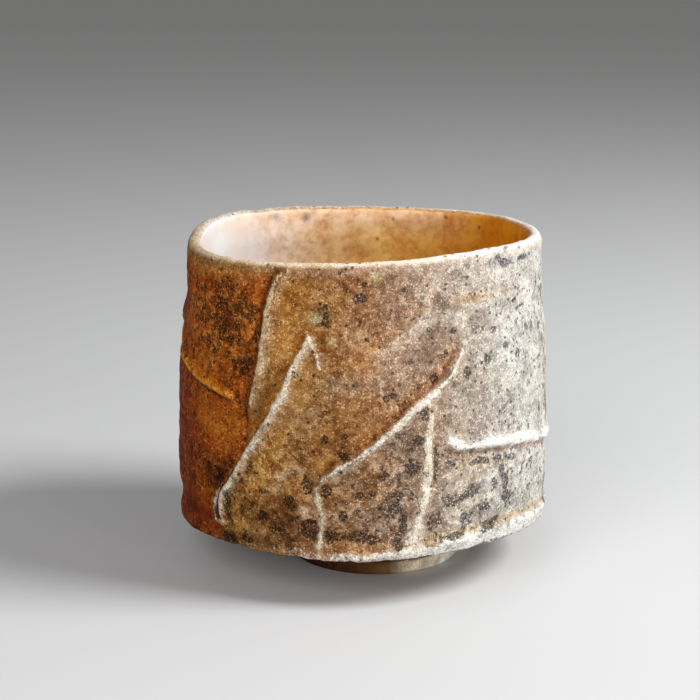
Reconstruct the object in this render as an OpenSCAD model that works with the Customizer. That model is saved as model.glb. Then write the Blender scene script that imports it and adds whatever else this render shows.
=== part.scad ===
// Yunomi tea cup: a handleless cup, rounded square in plan, on a small turned foot.
// Its origin is the centre of the foot's resting face, +Z is up and the front faces -Y.
// Angles turn anticlockwise from +X, seen from above, so the middle of the front is at -90.

/* [Body] */
// Height of the rim above the table
cup_h = 77; // [60:1:100]
// Half width of the body at the base
base_r = 43.3; // [36:0.1:52]
// How far the rim's half width draws in from the base's
rim_in = 2.4; // [-2:0.1:8]
// How far the belly swells past a straight wall
belly_out = 1.4; // [0:0.1:4]
// How far the body stands to the left of the foot
body_shift = 3.1; // [0:0.1:6]
// How far the rim leans back over the foot
rim_lean = 0.7; // [0:0.1:3]

/* [Wall] */
// Thickness of the rounded lip
lip_t = 3.2; // [2.4:0.1:4.4]
// Thickness of the wall at half height
wall_t = 4.4; // [3:0.1:6]
// Thickness of the wall near the floor
heel_t = 5.4; // [4:0.1:8]
// Radius of the curve between the wall and the floor inside
inner_curve_r = 12; // [8:0.5:18]

/* [Floor and foot] */
// Height of the foot ring
foot_h = 5.5; // [3:0.1:9]
// Outer radius of the foot ring on the table
foot_r = 20; // [15:0.1:28]
// Width of the foot ring's resting face
foot_face_w = 3.2; // [2:0.1:5]
// How far the foot ring widens towards the floor
foot_flare = 1.1; // [0.2:0.1:2]
// Height of the turned groove above the table
groove_z = 3.4; // [1:0.1:4.5]
// Depth of the turned groove
groove_d = 0.5; // [0.1:0.1:1]
// Rounding of the foot ring's outer edge
foot_round = 0.4; // [0.1:0.1:1]
// Thickness of the floor in the middle
floor_t = 5; // [3:0.1:8]
// Height of the joint between floor and wall above the floor's inside
seam_rise = 2.1; // [1:0.1:4]

/* [Base edge] */
// Mean half height of the raised band
edge_half = 1.6; // [1:0.1:2.4]
// How far the band's crest stands out
edge_out = 0.9; // [0.3:0.1:2]

/* [Ridges] */
// Height of a bold ridge
bold_h = 1.15; // [0.5:0.05:2]
// Width of a bold ridge
bold_w = 3.8; // [2:0.1:5]
// Height of a common ridge
ridge_h = 0.95; // [0.4:0.05:1.8]
// Width of a common ridge
ridge_w = 3.4; // [2:0.1:4.5]
// Height of a faint ridge
faint_h = 0.6; // [0.3:0.05:1.2]
// Width of a faint ridge
faint_w = 3; // [2:0.1:4]
// Thickness of a ridge along its sides
feather_t = 0.15; // [0.05:0.05:0.3]

/* [Glaze] */
// Thickness of the glaze inside the cup
glaze_t = 0.45; // [0.2:0.05:0.8]
// How far below the lip the glaze ends
glaze_drop = 2; // [1:0.5:12]

/* [Hidden] */

// Slip joint between what is applied and the wall under it
seat_gap = 0.05;
// Space between a ridge's end and what lies beyond it
end_gap = 0.3;

rim_r = base_r - rim_in;
floor_z = foot_h + floor_t;
seam_z = floor_z + seam_rise;
curve_z = floor_z + inner_curve_r;
seam_angle = asin((curve_z - seam_z) / inner_curve_r);
glaze_end_share = glaze_drop / (cup_h - curve_z);
// The floor's underside is flat out to here, for the foot ring
underside_r = foot_r + foot_flare + foot_flare;

// Plan of the body every 45 degrees, as shares of its half width
base_plan_shares = [1, 1, 0.98, 1, 1, 0.995, 0.975, 1];
rim_plan_shares = [1, 1.056, 1.03, 1.09, 1, 1.085, 1.027, 0.993];
// Height of the wavy rim every 45 degrees, as shares of the cup's height
rim_wave_shares = [1.005, 1.002, 1.002, 1.008, 1, 0.996, 1.005, 1.017];
// Swell of the belly from the table to the rim, as shares of belly_out
belly_shares = [0, 0.05, 0.3, 0.7, 0.9, 0.94, 1, 0.62, 0.26, 0.1, 0];
// How far the base edge's crest lies above the joint every 45 degrees, as shares of edge_half
edge_rise_shares = [0, 0.08, 0, 0, -0.16, 0.24, -0.16, 1.18];
// Height of its band every 45 degrees, as shares of edge_half
edge_half_shares = [1.2, 1.06, 0.94, 1, 1.2, 0.75, 0.72, 1.4];
// Slope of the floor's underside, as shares of its run and of its rise
slope_shares = [[0.25, 0.16], [0.55, 0.45], [0.85, 0.82]];
// Where the flat of the inside floor has its rings, as shares of its radius
flat_shares = [0.68, 0.34];
// Section of the base edge, as shares of half height and of crest
edge_section_shares = [[1, 0.2], [0.6, 0.55], [0.1, 1], [-0.5, 0.85], [-1, 0.3]];
// Top of a ridge's section from its upper side to its lower side, as shares of half width and height
ridge_top_shares = [[1, 0], [0.5, 0.62], [0, 1], [-0.5, 0.7], [-1, 0]];
// Underside of a ridge's section, as shares of half width
ridge_under_shares = [-1, 0, 1];
// Size of a ridge at its ends, and the share of its run over which it swells to full size
ridge_end_share = 0.4;
ridge_taper_share = 0.2;

// Each ridge's route, as the angle and the share of the way from the base edge to the rim
rim_drop_shares = [[-114, 0.99], [-116, 0.96], [-118, 0.88], [-119.5, 0.77], [-120.5, 0.67],
    [-122, 0.59], [-123.5, 0.5], [-124.5, 0.43]];
left_sweep_shares = [[-106, 0.77], [-109.5, 0.69], [-112, 0.63], [-114, 0.56], [-119.5, 0.44],
    [-125.5, 0.33], [-132, 0.21], [-136.5, 0.14], [-137.5, 0.09], [-137.5, 0.01]];
fork_twig_shares = [[-104.2, 0.725], [-103.6, 0.69], [-102.6, 0.64]];
centre_sweep_shares = [[-59, 0.75], [-60, 0.7], [-64, 0.615], [-69.3, 0.555], [-75, 0.512],
    [-80, 0.462], [-86, 0.398], [-92.5, 0.343], [-98, 0.303], [-102, 0.268]];
lower_left_shares = [[-103.7, 0.235], [-103.6, 0.18], [-102.2, 0.12], [-102.8, 0.06], [-103.3, 0.01]];
lower_right_shares = [[-69.8, 0.5], [-70.8, 0.43], [-71.3, 0.35], [-71.3, 0.27], [-71.6, 0.2],
    [-73, 0.12], [-74.5, 0.06], [-75.5, 0.01]];
upper_soft_shares = [[-75, 0.92], [-72.5, 0.885], [-72, 0.85], [-75, 0.8], [-80, 0.757],
    [-86, 0.705], [-90, 0.68]];
right_belt_shares = [[-67, 0.395], [-64.5, 0.36], [-62, 0.335], [-57, 0.322], [-46, 0.307],
    [-30, 0.286], [-12, 0.262], [8, 0.25], [26, 0.262], [40, 0.28]];
left_belt_shares = [[-128, 0.53], [-134, 0.542], [-141, 0.557], [-150, 0.58], [-157, 0.6],
    [-163, 0.625], [-169, 0.67], [-177, 0.72], [-188, 0.735]];
back_sweep_shares = [[128, 0.9], [122, 0.8], [114, 0.69], [103, 0.58], [90, 0.48], [76, 0.4],
    [64, 0.35]];
back_drop_shares = [[112, 0.58], [116, 0.46], [118, 0.34], [115, 0.2], [112, 0.05]];
back_belt_shares = [[160, 0.66], [150, 0.56], [140, 0.48], [128, 0.43]];

columns = 72;
outer_rows = 20;
lip_rows = 6;
inner_rows = 7;
curve_rows = 4;
heel_rows = 2;
steps_per_leg = 3;
$fn = 96;

// Value between four evenly spaced ones, on a smooth curve
function curve_value(a, b, c, d, t) = b + 0.5 * t * (c - a + t * (2 * a - 5 * b + 4 * c - d
    + t * (3 * (b - c) + d - a)));
// Value at an angle, from a list that goes once round
function round_value(list, angle) =
    let (n = len(list), u = (angle / 360 - floor(angle / 360)) * n, i = floor(u))
    curve_value(list[(i + n - 1) % n], list[i % n], list[(i + 1) % n], list[(i + 2) % n], u - i);
// Value at u between 0 and 1, from a list with two ends
function run_value(list, u) =
    let (n = len(list) - 1, v = min(max(u, 0), 1) * n, i = min(floor(v), n - 1))
    curve_value(list[max(i - 1, 0)], list[i], list[i + 1], list[min(i + 2, n)], v - i);
function blend(a, b, t) = a + (b - a) * t;
function ease(t) = let (u = min(max(t, 0), 1)) u * u * (3 - 2 * u);

// The body's outer surface
function body_x(z) = -body_shift + rim_lean * (z / cup_h) * (z / cup_h);
function outer_r(angle, z) =
    let (u = z / cup_h)
    (blend(base_r, rim_r, u) + belly_out * run_value(belly_shares, u))
    * blend(round_value(base_plan_shares, angle), round_value(rim_plan_shares, angle),
        ease((u - 0.15) / 0.85));
function rim_z(angle) = cup_h * round_value(rim_wave_shares, angle);
function lip_z(angle) = rim_z(angle) - lip_t / 2;
function edge_mid_z(angle) = seam_z + edge_half * round_value(edge_rise_shares, angle);
function edge_half_h(angle) = edge_half * round_value(edge_half_shares, angle);
function edge_top_z(angle) = edge_mid_z(angle) + edge_half_h(angle);
function edge_low_z(angle) = edge_mid_z(angle) - edge_half_h(angle);
function body_point(angle, z, r) = [body_x(z) + r * cos(angle), r * sin(angle), z];
function skin_point(angle, z, lift) = body_point(angle, z, outer_r(angle, z) + lift);

// Thickness of the wall, from the heel to the lip
function wall_thickness(z) =
    let (u = 2 * z / cup_h)
    u < 1 ? blend(heel_t, wall_t, ease(u)) : blend(wall_t, lip_t, ease(u - 1));

// The inside of the cup, from the lip to the middle of the floor, moved inwards by a coat
function inner_wall_point(angle, z, coat) =
    body_point(angle, z, outer_r(angle, z) - wall_thickness(z) - coat);
function inner_curve_point(angle, turn, coat) =
    let (z = curve_z - inner_curve_r * sin(turn),
        inset = wall_thickness(z) + inner_curve_r * (1 - cos(turn)) + coat * cos(turn))
    body_point(angle, z, outer_r(angle, z) - inset) + [0, 0, coat * sin(turn)];
function inner_flat_point(angle, share, coat) =
    let (inset = wall_thickness(floor_z) + inner_curve_r, r = (outer_r(angle, floor_z) - inset) * share)
    body_point(angle, floor_z, r) + [0, 0, coat];
function floor_centre(coat) = [body_x(floor_z), 0, floor_z + coat];

function turn_angle(j) = 360 * j / columns;
function wall_ring(u, coat) = [for (j = [0 : columns - 1]) let (a = turn_angle(j))
    inner_wall_point(a, blend(lip_z(a), curve_z, u), coat)];
function curve_ring(turn, coat) = [for (j = [0 : columns - 1]) inner_curve_point(turn_angle(j), turn, coat)];
function flat_ring(share, coat) = [for (j = [0 : columns - 1]) inner_flat_point(turn_angle(j), share, coat)];
function skin_ring(z, lift) = [for (j = [0 : columns - 1]) skin_point(turn_angle(j), z, lift)];

function heel_turn(i) = blend(seam_angle, 90, i / heel_rows);
// Rings of the inside from the glaze's end down to the joint, and from there to the flat of the floor
function upper_inside(first, coat) = [
    for (i = [first : inner_rows]) wall_ring(blend(glaze_end_share, 1, i / inner_rows), coat),
    for (i = [1 : curve_rows]) curve_ring(seam_angle * i / curve_rows, coat)];
function lower_inside(coat) = [
    for (i = [1 : heel_rows]) curve_ring(heel_turn(i), coat),
    for (s = flat_shares) flat_ring(s, coat)];

function reversed(list) = [for (i = [len(list) - 1 : -1 : 0]) list[i]];
function flattened(rings) = [for (ring = rings) each ring];

// Triangles of the skin between ring i and the next one, of n points each
function skin_between(i, next, n) = [for (j = [0 : n - 1])
    let (a = i * n + j, b = i * n + (j + 1) % n, c = next * n + (j + 1) % n, d = next * n + j)
    each [[a, c, b], [a, d, c]]];
function fan_in(tip, first, n) = [for (j = [0 : n - 1]) [tip, first + j, first + (j + 1) % n]];
function fan_out(tip, first, n) = [for (j = [0 : n - 1]) [first + j, tip, first + (j + 1) % n]];

// A solid whose rings of points close on themselves, like a tyre
module hoop_solid(rings) {
    n = len(rings[0]);
    m = len(rings);
    faces = [for (i = [0 : m - 1]) each skin_between(i, (i + 1) % m, n)];
    polyhedron(points = flattened(rings), faces = faces);
}

// A solid whose rings of points run from one tip to another
module capped_solid(start, rings, end) {
    n = len(rings[0]);
    m = len(rings);
    faces = [
        each fan_in(m * n, 0, n),
        for (i = [0 : m - 2]) each skin_between(i, i + 1, n),
        each fan_out(m * n + 1, (m - 1) * n, n)];
    polyhedron(points = [each flattened(rings), start, end], faces = faces);
}

// Point of the rounded lip, from its outer side over the top to its inner side
function lip_point(angle, turn) =
    let (z = lip_z(angle), middle = outer_r(angle, z) - lip_t / 2)
    body_point(angle, z, middle + lip_t / 2 * cos(turn)) + [0, 0, lip_t / 2 * sin(turn)];

module wall() {
    outside = [for (i = [0 : outer_rows]) [for (j = [0 : columns - 1]) let (a = turn_angle(j))
        skin_point(a, blend(seam_z, lip_z(a), i / outer_rows), 0)]];
    lip = [for (i = [1 : lip_rows - 1]) [for (j = [0 : columns - 1])
        lip_point(turn_angle(j), 180 * i / lip_rows)]];
    color("tan") hoop_solid(concat(outside, lip, [wall_ring(0, 0)], upper_inside(0, 0)));
}

module floor() {
    underside = [
        [for (j = [0 : columns - 1]) underside_point(turn_angle(j), 0, 0)],
        for (s = slope_shares) [for (j = [0 : columns - 1]) underside_point(turn_angle(j), s[0], s[1])],
        [for (j = [0 : columns - 1]) underside_point(turn_angle(j), 1, 1)]];
    joint = [skin_ring(seam_z, 0), curve_ring(seam_angle, 0)];
    color("rosybrown") capped_solid([0, 0, foot_h], concat(underside, joint, lower_inside(0)), floor_centre(0));
}

// Point of the floor's underside, by shares of its run from the foot to the base edge and of its rise
function underside_point(angle, run, rise) =
    let (low = edge_low_z(angle), far = skin_point(angle, low, 0),
        near = [underside_r * cos(angle), underside_r * sin(angle), foot_h])
    [blend(near[0], far[0], run), blend(near[1], far[1], run), blend(foot_h, low, rise)];

module foot_ring() {
    top_r = foot_r + foot_flare;
    hollow_r = foot_r - foot_face_w;
    groove_r = blend(foot_r, top_r, groove_z / foot_h);
    color("burlywood") rotate_extrude() polygon([
        [hollow_r, 0], [foot_r - foot_round, 0], [foot_r, foot_round],
        [groove_r, groove_z], [groove_r - groove_d, groove_z],
        [top_r - groove_d, foot_h], [hollow_r - foot_flare, foot_h]]);
}

module base_edge() {
    inside_low = [for (j = [0 : columns - 1]) edge_point(turn_angle(j), -1, seat_gap)];
    inside_high = [for (j = [0 : columns - 1]) edge_point(turn_angle(j), 1, seat_gap)];
    outside = [for (s = reversed(edge_section_shares)) [for (j = [0 : columns - 1])
        edge_point(turn_angle(j), s[0], seat_gap + edge_out * s[1])]];
    color("wheat") hoop_solid(concat(outside, [inside_high, inside_low]));
}

// Point of the base edge, by its share of half height and its distance from the wall
function edge_point(angle, share, lift) =
    let (z = edge_mid_z(angle) + edge_half_h(angle) * share)
    body_point(angle, z, outer_r(angle, z) + lift);

module liner_glaze() {
    outside = concat(upper_inside(0, 0), lower_inside(0));
    top = wall_ring(glaze_end_share, glaze_t / 2);
    inside = concat([top], upper_inside(1, glaze_t), lower_inside(glaze_t));
    color("peru") capped_solid(floor_centre(0), concat(reversed(outside), inside), floor_centre(glaze_t));
}

// Point of the wall's skin at a place on a route
function route_z(place) = blend(edge_top_z(place[0]) + end_gap, lip_z(place[0]), place[1]);
// Place on a route at u, on a smooth curve through its points
function route_place(route, u) = [run_value([for (p = route) p[0]], u), run_value([for (p = route) p[1]], u)];

// Ring of points round a ridge's section, square to its route
function ridge_ring(route, u, w, h) =
    let (ahead = route_place(route, u + 0.01), behind = route_place(route, u - 0.01),
        place = route_place(route, u),
        r = outer_r(place[0], route_z(place)),
        degree = r * PI / 180,
        run = [(ahead[0] - behind[0]) * degree, route_z(ahead) - route_z(behind)],
        side = [-run[1], run[0]] / norm(run),
        size = blend(ridge_end_share, 1, ease(min(u, 1 - u) / ridge_taper_share)),
        half = w / 2 * size)
    [for (s = ridge_top_shares) ridge_point(place, side, half * s[0], degree,
            seat_gap + feather_t + (h - feather_t) * size * s[1]),
        for (s = ridge_under_shares) ridge_point(place, side, half * s, degree, seat_gap)];
function ridge_point(place, side, away, degree, lift) =
    skin_point(place[0] + side[0] * away / degree, route_z(place) + side[1] * away, lift);

function middle_of(ring) = [for (p = ring) 1] * ring / len(ring);

module ridge(route, w, h) {
    steps = steps_per_leg * (len(route) - 1);
    rings = [for (i = [0 : steps]) ridge_ring(route, i / steps, w, h)];
    capped_solid(middle_of(rings[0]), rings, middle_of(rings[steps]));
}

module ridge_rim_drop() { color("khaki") ridge(rim_drop_shares, ridge_w, ridge_h); }
module ridge_left_sweep() { color("cornsilk") ridge(left_sweep_shares, ridge_w, ridge_h); }
module ridge_fork_twig() { color("cornsilk") ridge(fork_twig_shares, faint_w, faint_h); }
module ridge_centre_sweep() { color("cornsilk") ridge(centre_sweep_shares, ridge_w, ridge_h); }
module ridge_lower_left() { color("cornsilk") ridge(lower_left_shares, faint_w, faint_h); }
module ridge_lower_right() { color("cornsilk") ridge(lower_right_shares, faint_w, ridge_h); }
module ridge_upper_soft() { color("tan") ridge(upper_soft_shares, faint_w, faint_h); }
module ridge_right_belt() { color("white") ridge(right_belt_shares, bold_w, bold_h); }
module ridge_left_belt() { color("orange") ridge(left_belt_shares, bold_w, bold_h); }
module ridge_back_sweep() { color("khaki") ridge(back_sweep_shares, ridge_w, ridge_h); }
module ridge_back_drop() { color("khaki") ridge(back_drop_shares, faint_w, faint_h); }
module ridge_back_belt() { color("khaki") ridge(back_belt_shares, ridge_w, ridge_h); }

floor();
wall();
foot_ring();
base_edge();
liner_glaze();
ridge_rim_drop();
ridge_left_sweep();
ridge_fork_twig();
ridge_centre_sweep();
ridge_lower_left();
ridge_lower_right();
ridge_upper_soft();
ridge_right_belt();
ridge_left_belt();
ridge_back_sweep();
ridge_back_drop();
ridge_back_belt();
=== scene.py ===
import bpy
import math
import numpy as np
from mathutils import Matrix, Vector, noise


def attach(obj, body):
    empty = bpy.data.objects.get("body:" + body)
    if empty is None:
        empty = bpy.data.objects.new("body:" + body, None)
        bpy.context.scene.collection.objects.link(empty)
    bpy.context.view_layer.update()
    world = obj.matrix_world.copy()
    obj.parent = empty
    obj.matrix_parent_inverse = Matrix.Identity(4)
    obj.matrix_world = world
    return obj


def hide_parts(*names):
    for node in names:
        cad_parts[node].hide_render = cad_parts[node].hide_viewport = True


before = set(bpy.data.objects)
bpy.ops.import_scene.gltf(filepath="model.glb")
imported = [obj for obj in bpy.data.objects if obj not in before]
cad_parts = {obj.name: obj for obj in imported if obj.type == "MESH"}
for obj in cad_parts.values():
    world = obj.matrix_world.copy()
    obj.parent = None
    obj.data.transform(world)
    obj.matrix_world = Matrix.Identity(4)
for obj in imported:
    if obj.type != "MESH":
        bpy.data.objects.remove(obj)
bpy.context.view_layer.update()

# Sizes of the cup, repeated from the source, in millimetres
# Angles are in degrees: 0 is the right side, 90 the back, 180 the left side and -90 the front
MM = 0.001
CUP_H = 77
RIM_R = 40.9
BASE_R = 43.3
BELLY_OUT = 1.4
BODY_SHIFT = 3.1
RIM_LEAN = 0.7
LIP_T = 3.2
WALL_T = 4.4
HEEL_T = 5.4
INNER_CURVE_R = 12
FOOT_H = 5.5
FOOT_R = 20
FOOT_FACE_W = 3.2
FOOT_FLARE = 1.1
GROOVE_Z = 3.4
FLOOR_T = 5
SEAM_RISE = 2.1
EDGE_HALF = 1.6
EDGE_OUT = 0.9
GLAZE_T = 0.45
END_GAP = 0.3

FLOOR_Z = FOOT_H + FLOOR_T
SEAM_Z = FLOOR_Z + SEAM_RISE
CURVE_Z = FLOOR_Z + INNER_CURVE_R
SEAM_ANGLE = math.asin((CURVE_Z - SEAM_Z) / INNER_CURVE_R)
UNDERSIDE_R = FOOT_R + 2 * FOOT_FLARE

# Shares of the radius every 45 degrees, at the base and at the rim, and of the height along the rim
BASE_PLAN = [1, 1, 0.98, 1, 1, 0.995, 0.975, 1]
RIM_PLAN = [1, 1.056, 1.03, 1.09, 1, 1.085, 1.027, 0.993]
RIM_WAVE = [1.005, 1.002, 1.002, 1.008, 1, 0.996, 1.005, 1.017]
# Share of the height under which the wall keeps the plan of its base
PLAN_SHARE = 0.15
# The belly's share of its swell at every tenth of the height
BELLY = [0, 0.05, 0.3, 0.7, 0.9, 0.94, 1, 0.62, 0.26, 0.1, 0]
# The base edge's rise and half height every 45 degrees, in shares of EDGE_HALF
EDGE_RISE = [0, 0.08, 0, 0, -0.16, 0.24, -0.16, 1.18]
EDGE_HALF_H = [1.2, 1.06, 0.94, 1, 1.2, 0.75, 0.72, 1.4]
# Thickness of the lip every 45 degrees, thinner at the front, and where the wall takes it up
LIP_ROUND = [1.0, 1.0, 1.02, 0.98, 0.95, 0.9, 0.86, 0.96]
LIP_BLEND_Z = 62
LIP_BLEND_H = 14

# Mean radius of the skin, and the millimetres of unrolled skin to a degree
SKIN_R = 43.5
DEGREE = math.radians(SKIN_R)


# Values along tables, and shapes of the body


def curve_value(a, b, c, d, t):
    """A smooth curve's value between b and c, with a before them and d after."""
    return b + 0.5 * t * (c - a + t * (2 * a - 5 * b + 4 * c - d + t * (3 * (b - c) + d - a)))


def round_value(table, angle):
    """Smooth value at an angle, from a table of even steps round the cup."""
    table = np.asarray(table, dtype=float)
    n = len(table)
    u = (np.asarray(angle) % 360) / 360 * n
    i = np.floor(u).astype(int)
    return curve_value(table[(i - 1) % n], table[i % n], table[(i + 1) % n], table[(i + 2) % n], u - i)


def run_value(table, u):
    """Smooth value at a share of the way along a table of even steps."""
    table = np.asarray(table, dtype=float)
    n = len(table) - 1
    v = np.clip(u, 0, 1) * n
    i = np.minimum(np.floor(v).astype(int), n - 1)
    before, after = np.maximum(i - 1, 0), np.minimum(i + 2, n)
    return curve_value(table[before], table[i], table[i + 1], table[after], v - i)


def blend(a, b, t):
    return a + (b - a) * t


def ease(t):
    """Smooth rise from 0 to 1, level outside them."""
    u = np.clip(t, 0, 1)
    return u * u * (3 - 2 * u)


def turn_from(angle, at=0):
    """Signed degrees from one angle to another, between -180 and 180."""
    return (angle - at + 180) % 360 - 180


def body_x(z):
    return -BODY_SHIFT + RIM_LEAN * (z / CUP_H) ** 2


def outer_r(angle, z):
    u = z / CUP_H
    half = blend(BASE_R, RIM_R, u) + BELLY_OUT * run_value(BELLY, u)
    plan = ease((u - PLAN_SHARE) / (1 - PLAN_SHARE))
    return half * blend(round_value(BASE_PLAN, angle), round_value(RIM_PLAN, angle), plan)


def lip_z(angle):
    return CUP_H * round_value(RIM_WAVE, angle) - LIP_T / 2


def lip_thickness(angle):
    return LIP_T * round_value(LIP_ROUND, angle)


def edge_mid_z(angle):
    return SEAM_Z + EDGE_HALF * round_value(EDGE_RISE, angle)


def edge_half_h(angle):
    return EDGE_HALF * round_value(EDGE_HALF_H, angle)


def edge_top_z(angle):
    return edge_mid_z(angle) + edge_half_h(angle)


def edge_low_z(angle):
    return edge_mid_z(angle) - edge_half_h(angle)


def wall_thickness(angle, z):
    """From the heel to the wall's own thickness at half height, and on to the lip's."""
    u = 2 * z / CUP_H
    thick = np.where(u < 1, blend(HEEL_T, WALL_T, ease(u)), blend(WALL_T, LIP_T, ease(u - 1)))
    return thick + (lip_thickness(angle) - LIP_T) * ease((z - LIP_BLEND_Z) / LIP_BLEND_H)


def wall_share(angle, z):
    """Share of the wall's height, from just over the base edge to the lip."""
    low = edge_top_z(angle) + END_GAP
    return (z - low) / (lip_z(angle) - low)


def share_z(angle, share):
    return blend(edge_top_z(angle) + END_GAP, lip_z(angle), share)


def points(angle, z, r):
    """Places at an angle, a height and a distance from the body's axis."""
    turn = np.radians(angle)
    return np.stack([body_x(z) + r * np.cos(turn), r * np.sin(turn), z + 0 * r], axis=-1)


# Colours as a potter would name them, from screen values to light values


def hue(red, green, blue):
    return np.array([(c / 255) ** 2.2 for c in (red, green, blue)])


CHALK = hue(246, 240, 228)
ASH_WHITE = hue(240, 239, 236)
CREAM = hue(222, 216, 206)
SHELL = hue(206, 193, 176)
SAND = hue(190, 168, 142)
PINK_TAN = hue(178, 142, 116)
OCHRE_TAN = hue(176, 126, 66)
OCHRE = hue(170, 110, 30)
HONEY = hue(140, 86, 22)
ORANGE = hue(206, 124, 18)
EMBER = hue(172, 76, 8)
UMBER = hue(84, 42, 12)
SOOT = hue(44, 26, 14)
SLATE = hue(112, 106, 104)

# Steps of a ridge's route from one point to the next, and reach, step and blur steps of its section
ROUTE_STEPS = 14
SECTION_REACH = 14
SECTION_STEP = 0.05
BLUR_STEPS = 30
# Room round a route in which points are placed along it, and the distance that stands for far away
ROUTE_ROOM = 13
FAR = 99.0
# Half width of a strip's ends, and the length over which it widens from them
TIP_HALF = 0.5
TIP_RUN = 3


class Ridge:
    """A ridge of the skin.

    route: points from its first end, as angle and share of the wall's height
    section: heights square to the route, as (distance, height) from its right-hand side to its left
    half: half width of the strip that carries it
    fade: lengths over which it rises at its first end and falls at its last
    lines: tones along it, as (distance, half width, tone, strength); some are painted shade in the hollows
    beside the crest
    crest: its pale cover, as (distance, width to the right, width to the left, tone, cover)
    soft: blur of the section
    widths: shares of the crest's width, in even steps along it
    """

    def __init__(self, route, section, half, fade, lines, crest, soft=0.25, widths=(1, 1)):
        self.half = half
        self.fade = fade
        self.lines = lines
        self.crest = crest
        self.widths = widths
        turns, shares = np.array(route, dtype=float).T
        u = np.linspace(0, 1, ROUTE_STEPS * (len(route) - 1) + 1)
        self.angle = run_value(turns, u)
        self.path = np.stack([self.angle * DEGREE, share_z(self.angle, run_value(shares, u))], axis=-1)
        legs = np.diff(self.path, axis=0)
        self.length = np.concatenate([[0], np.cumsum(np.linalg.norm(legs, axis=1))])
        self.away = np.arange(-SECTION_REACH, SECTION_REACH + SECTION_STEP / 5, SECTION_STEP)
        raw = np.interp(self.away, [s[0] for s in section], [s[1] for s in section])
        bell = np.exp(-0.5 * (np.arange(-BLUR_STEPS, BLUR_STEPS + 1) * SECTION_STEP / soft) ** 2)
        self.rise = np.convolve(raw, bell / bell.sum(), mode="same")

    def place(self, angle, z):
        """Distance along the route and signed distance to its left, with far points left at FAR."""
        middle = (self.angle.min() + self.angle.max()) / 2
        s = (turn_from(angle, middle) + middle) * DEGREE
        low, high = self.path.min(axis=0) - ROUTE_ROOM, self.path.max(axis=0) + ROUTE_ROOM
        near_route = (s > low[0]) & (s < high[0]) & (z > low[1]) & (z < high[1])
        along = np.zeros(s.shape)
        away = np.full(s.shape, FAR)
        if not near_route.any():
            return along, away
        p = np.stack([s[near_route], z[near_route]], axis=-1)[:, None, :]
        start = self.path[:-1]
        leg = np.diff(self.path, axis=0)
        size = (leg ** 2).sum(axis=1)
        t = np.clip(((p - start) * leg).sum(axis=2) / size, 0, 1)
        gap = p - (start + t[..., None] * leg)
        reach = np.sqrt((gap ** 2).sum(axis=2))
        best = reach.argmin(axis=1)
        pick = np.arange(len(best))
        gap, leg, t = gap[pick, best], leg[best], t[pick, best]
        side = np.sign(leg[:, 0] * gap[:, 1] - leg[:, 1] * gap[:, 0])
        along[near_route] = self.length[best] + t * np.sqrt(size[best])
        away[near_route] = np.where(side < 0, -1, 1) * reach[pick, best]
        return along, away

    def spot(self, along):
        """Place on the unrolled skin at a distance along the route."""
        return np.stack([np.interp(along, self.length, self.path[:, k]) for k in (0, 1)], axis=-1)

    def strength(self, along):
        """Share of full height, which fades towards the ends over their own lengths."""
        first, last = self.fade
        start = ease(along / first) if first else 1.0
        end = ease((self.length[-1] - along) / last) if last else 1.0
        return start * end

    def width_at(self, along):
        """Share of the crest's width along the route."""
        return np.interp(along / self.length[-1], np.linspace(0, 1, len(self.widths)), self.widths)

    def half_at(self, along):
        """Half width of the strip along the route, narrower at both ends."""
        to_end = np.minimum(along, self.length[-1] - along)
        return TIP_HALF + (self.half - TIP_HALF) * ease(to_end / TIP_RUN)

    def height(self, along, away):
        return np.interp(away, self.away, self.rise) * self.strength(along)


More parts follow.
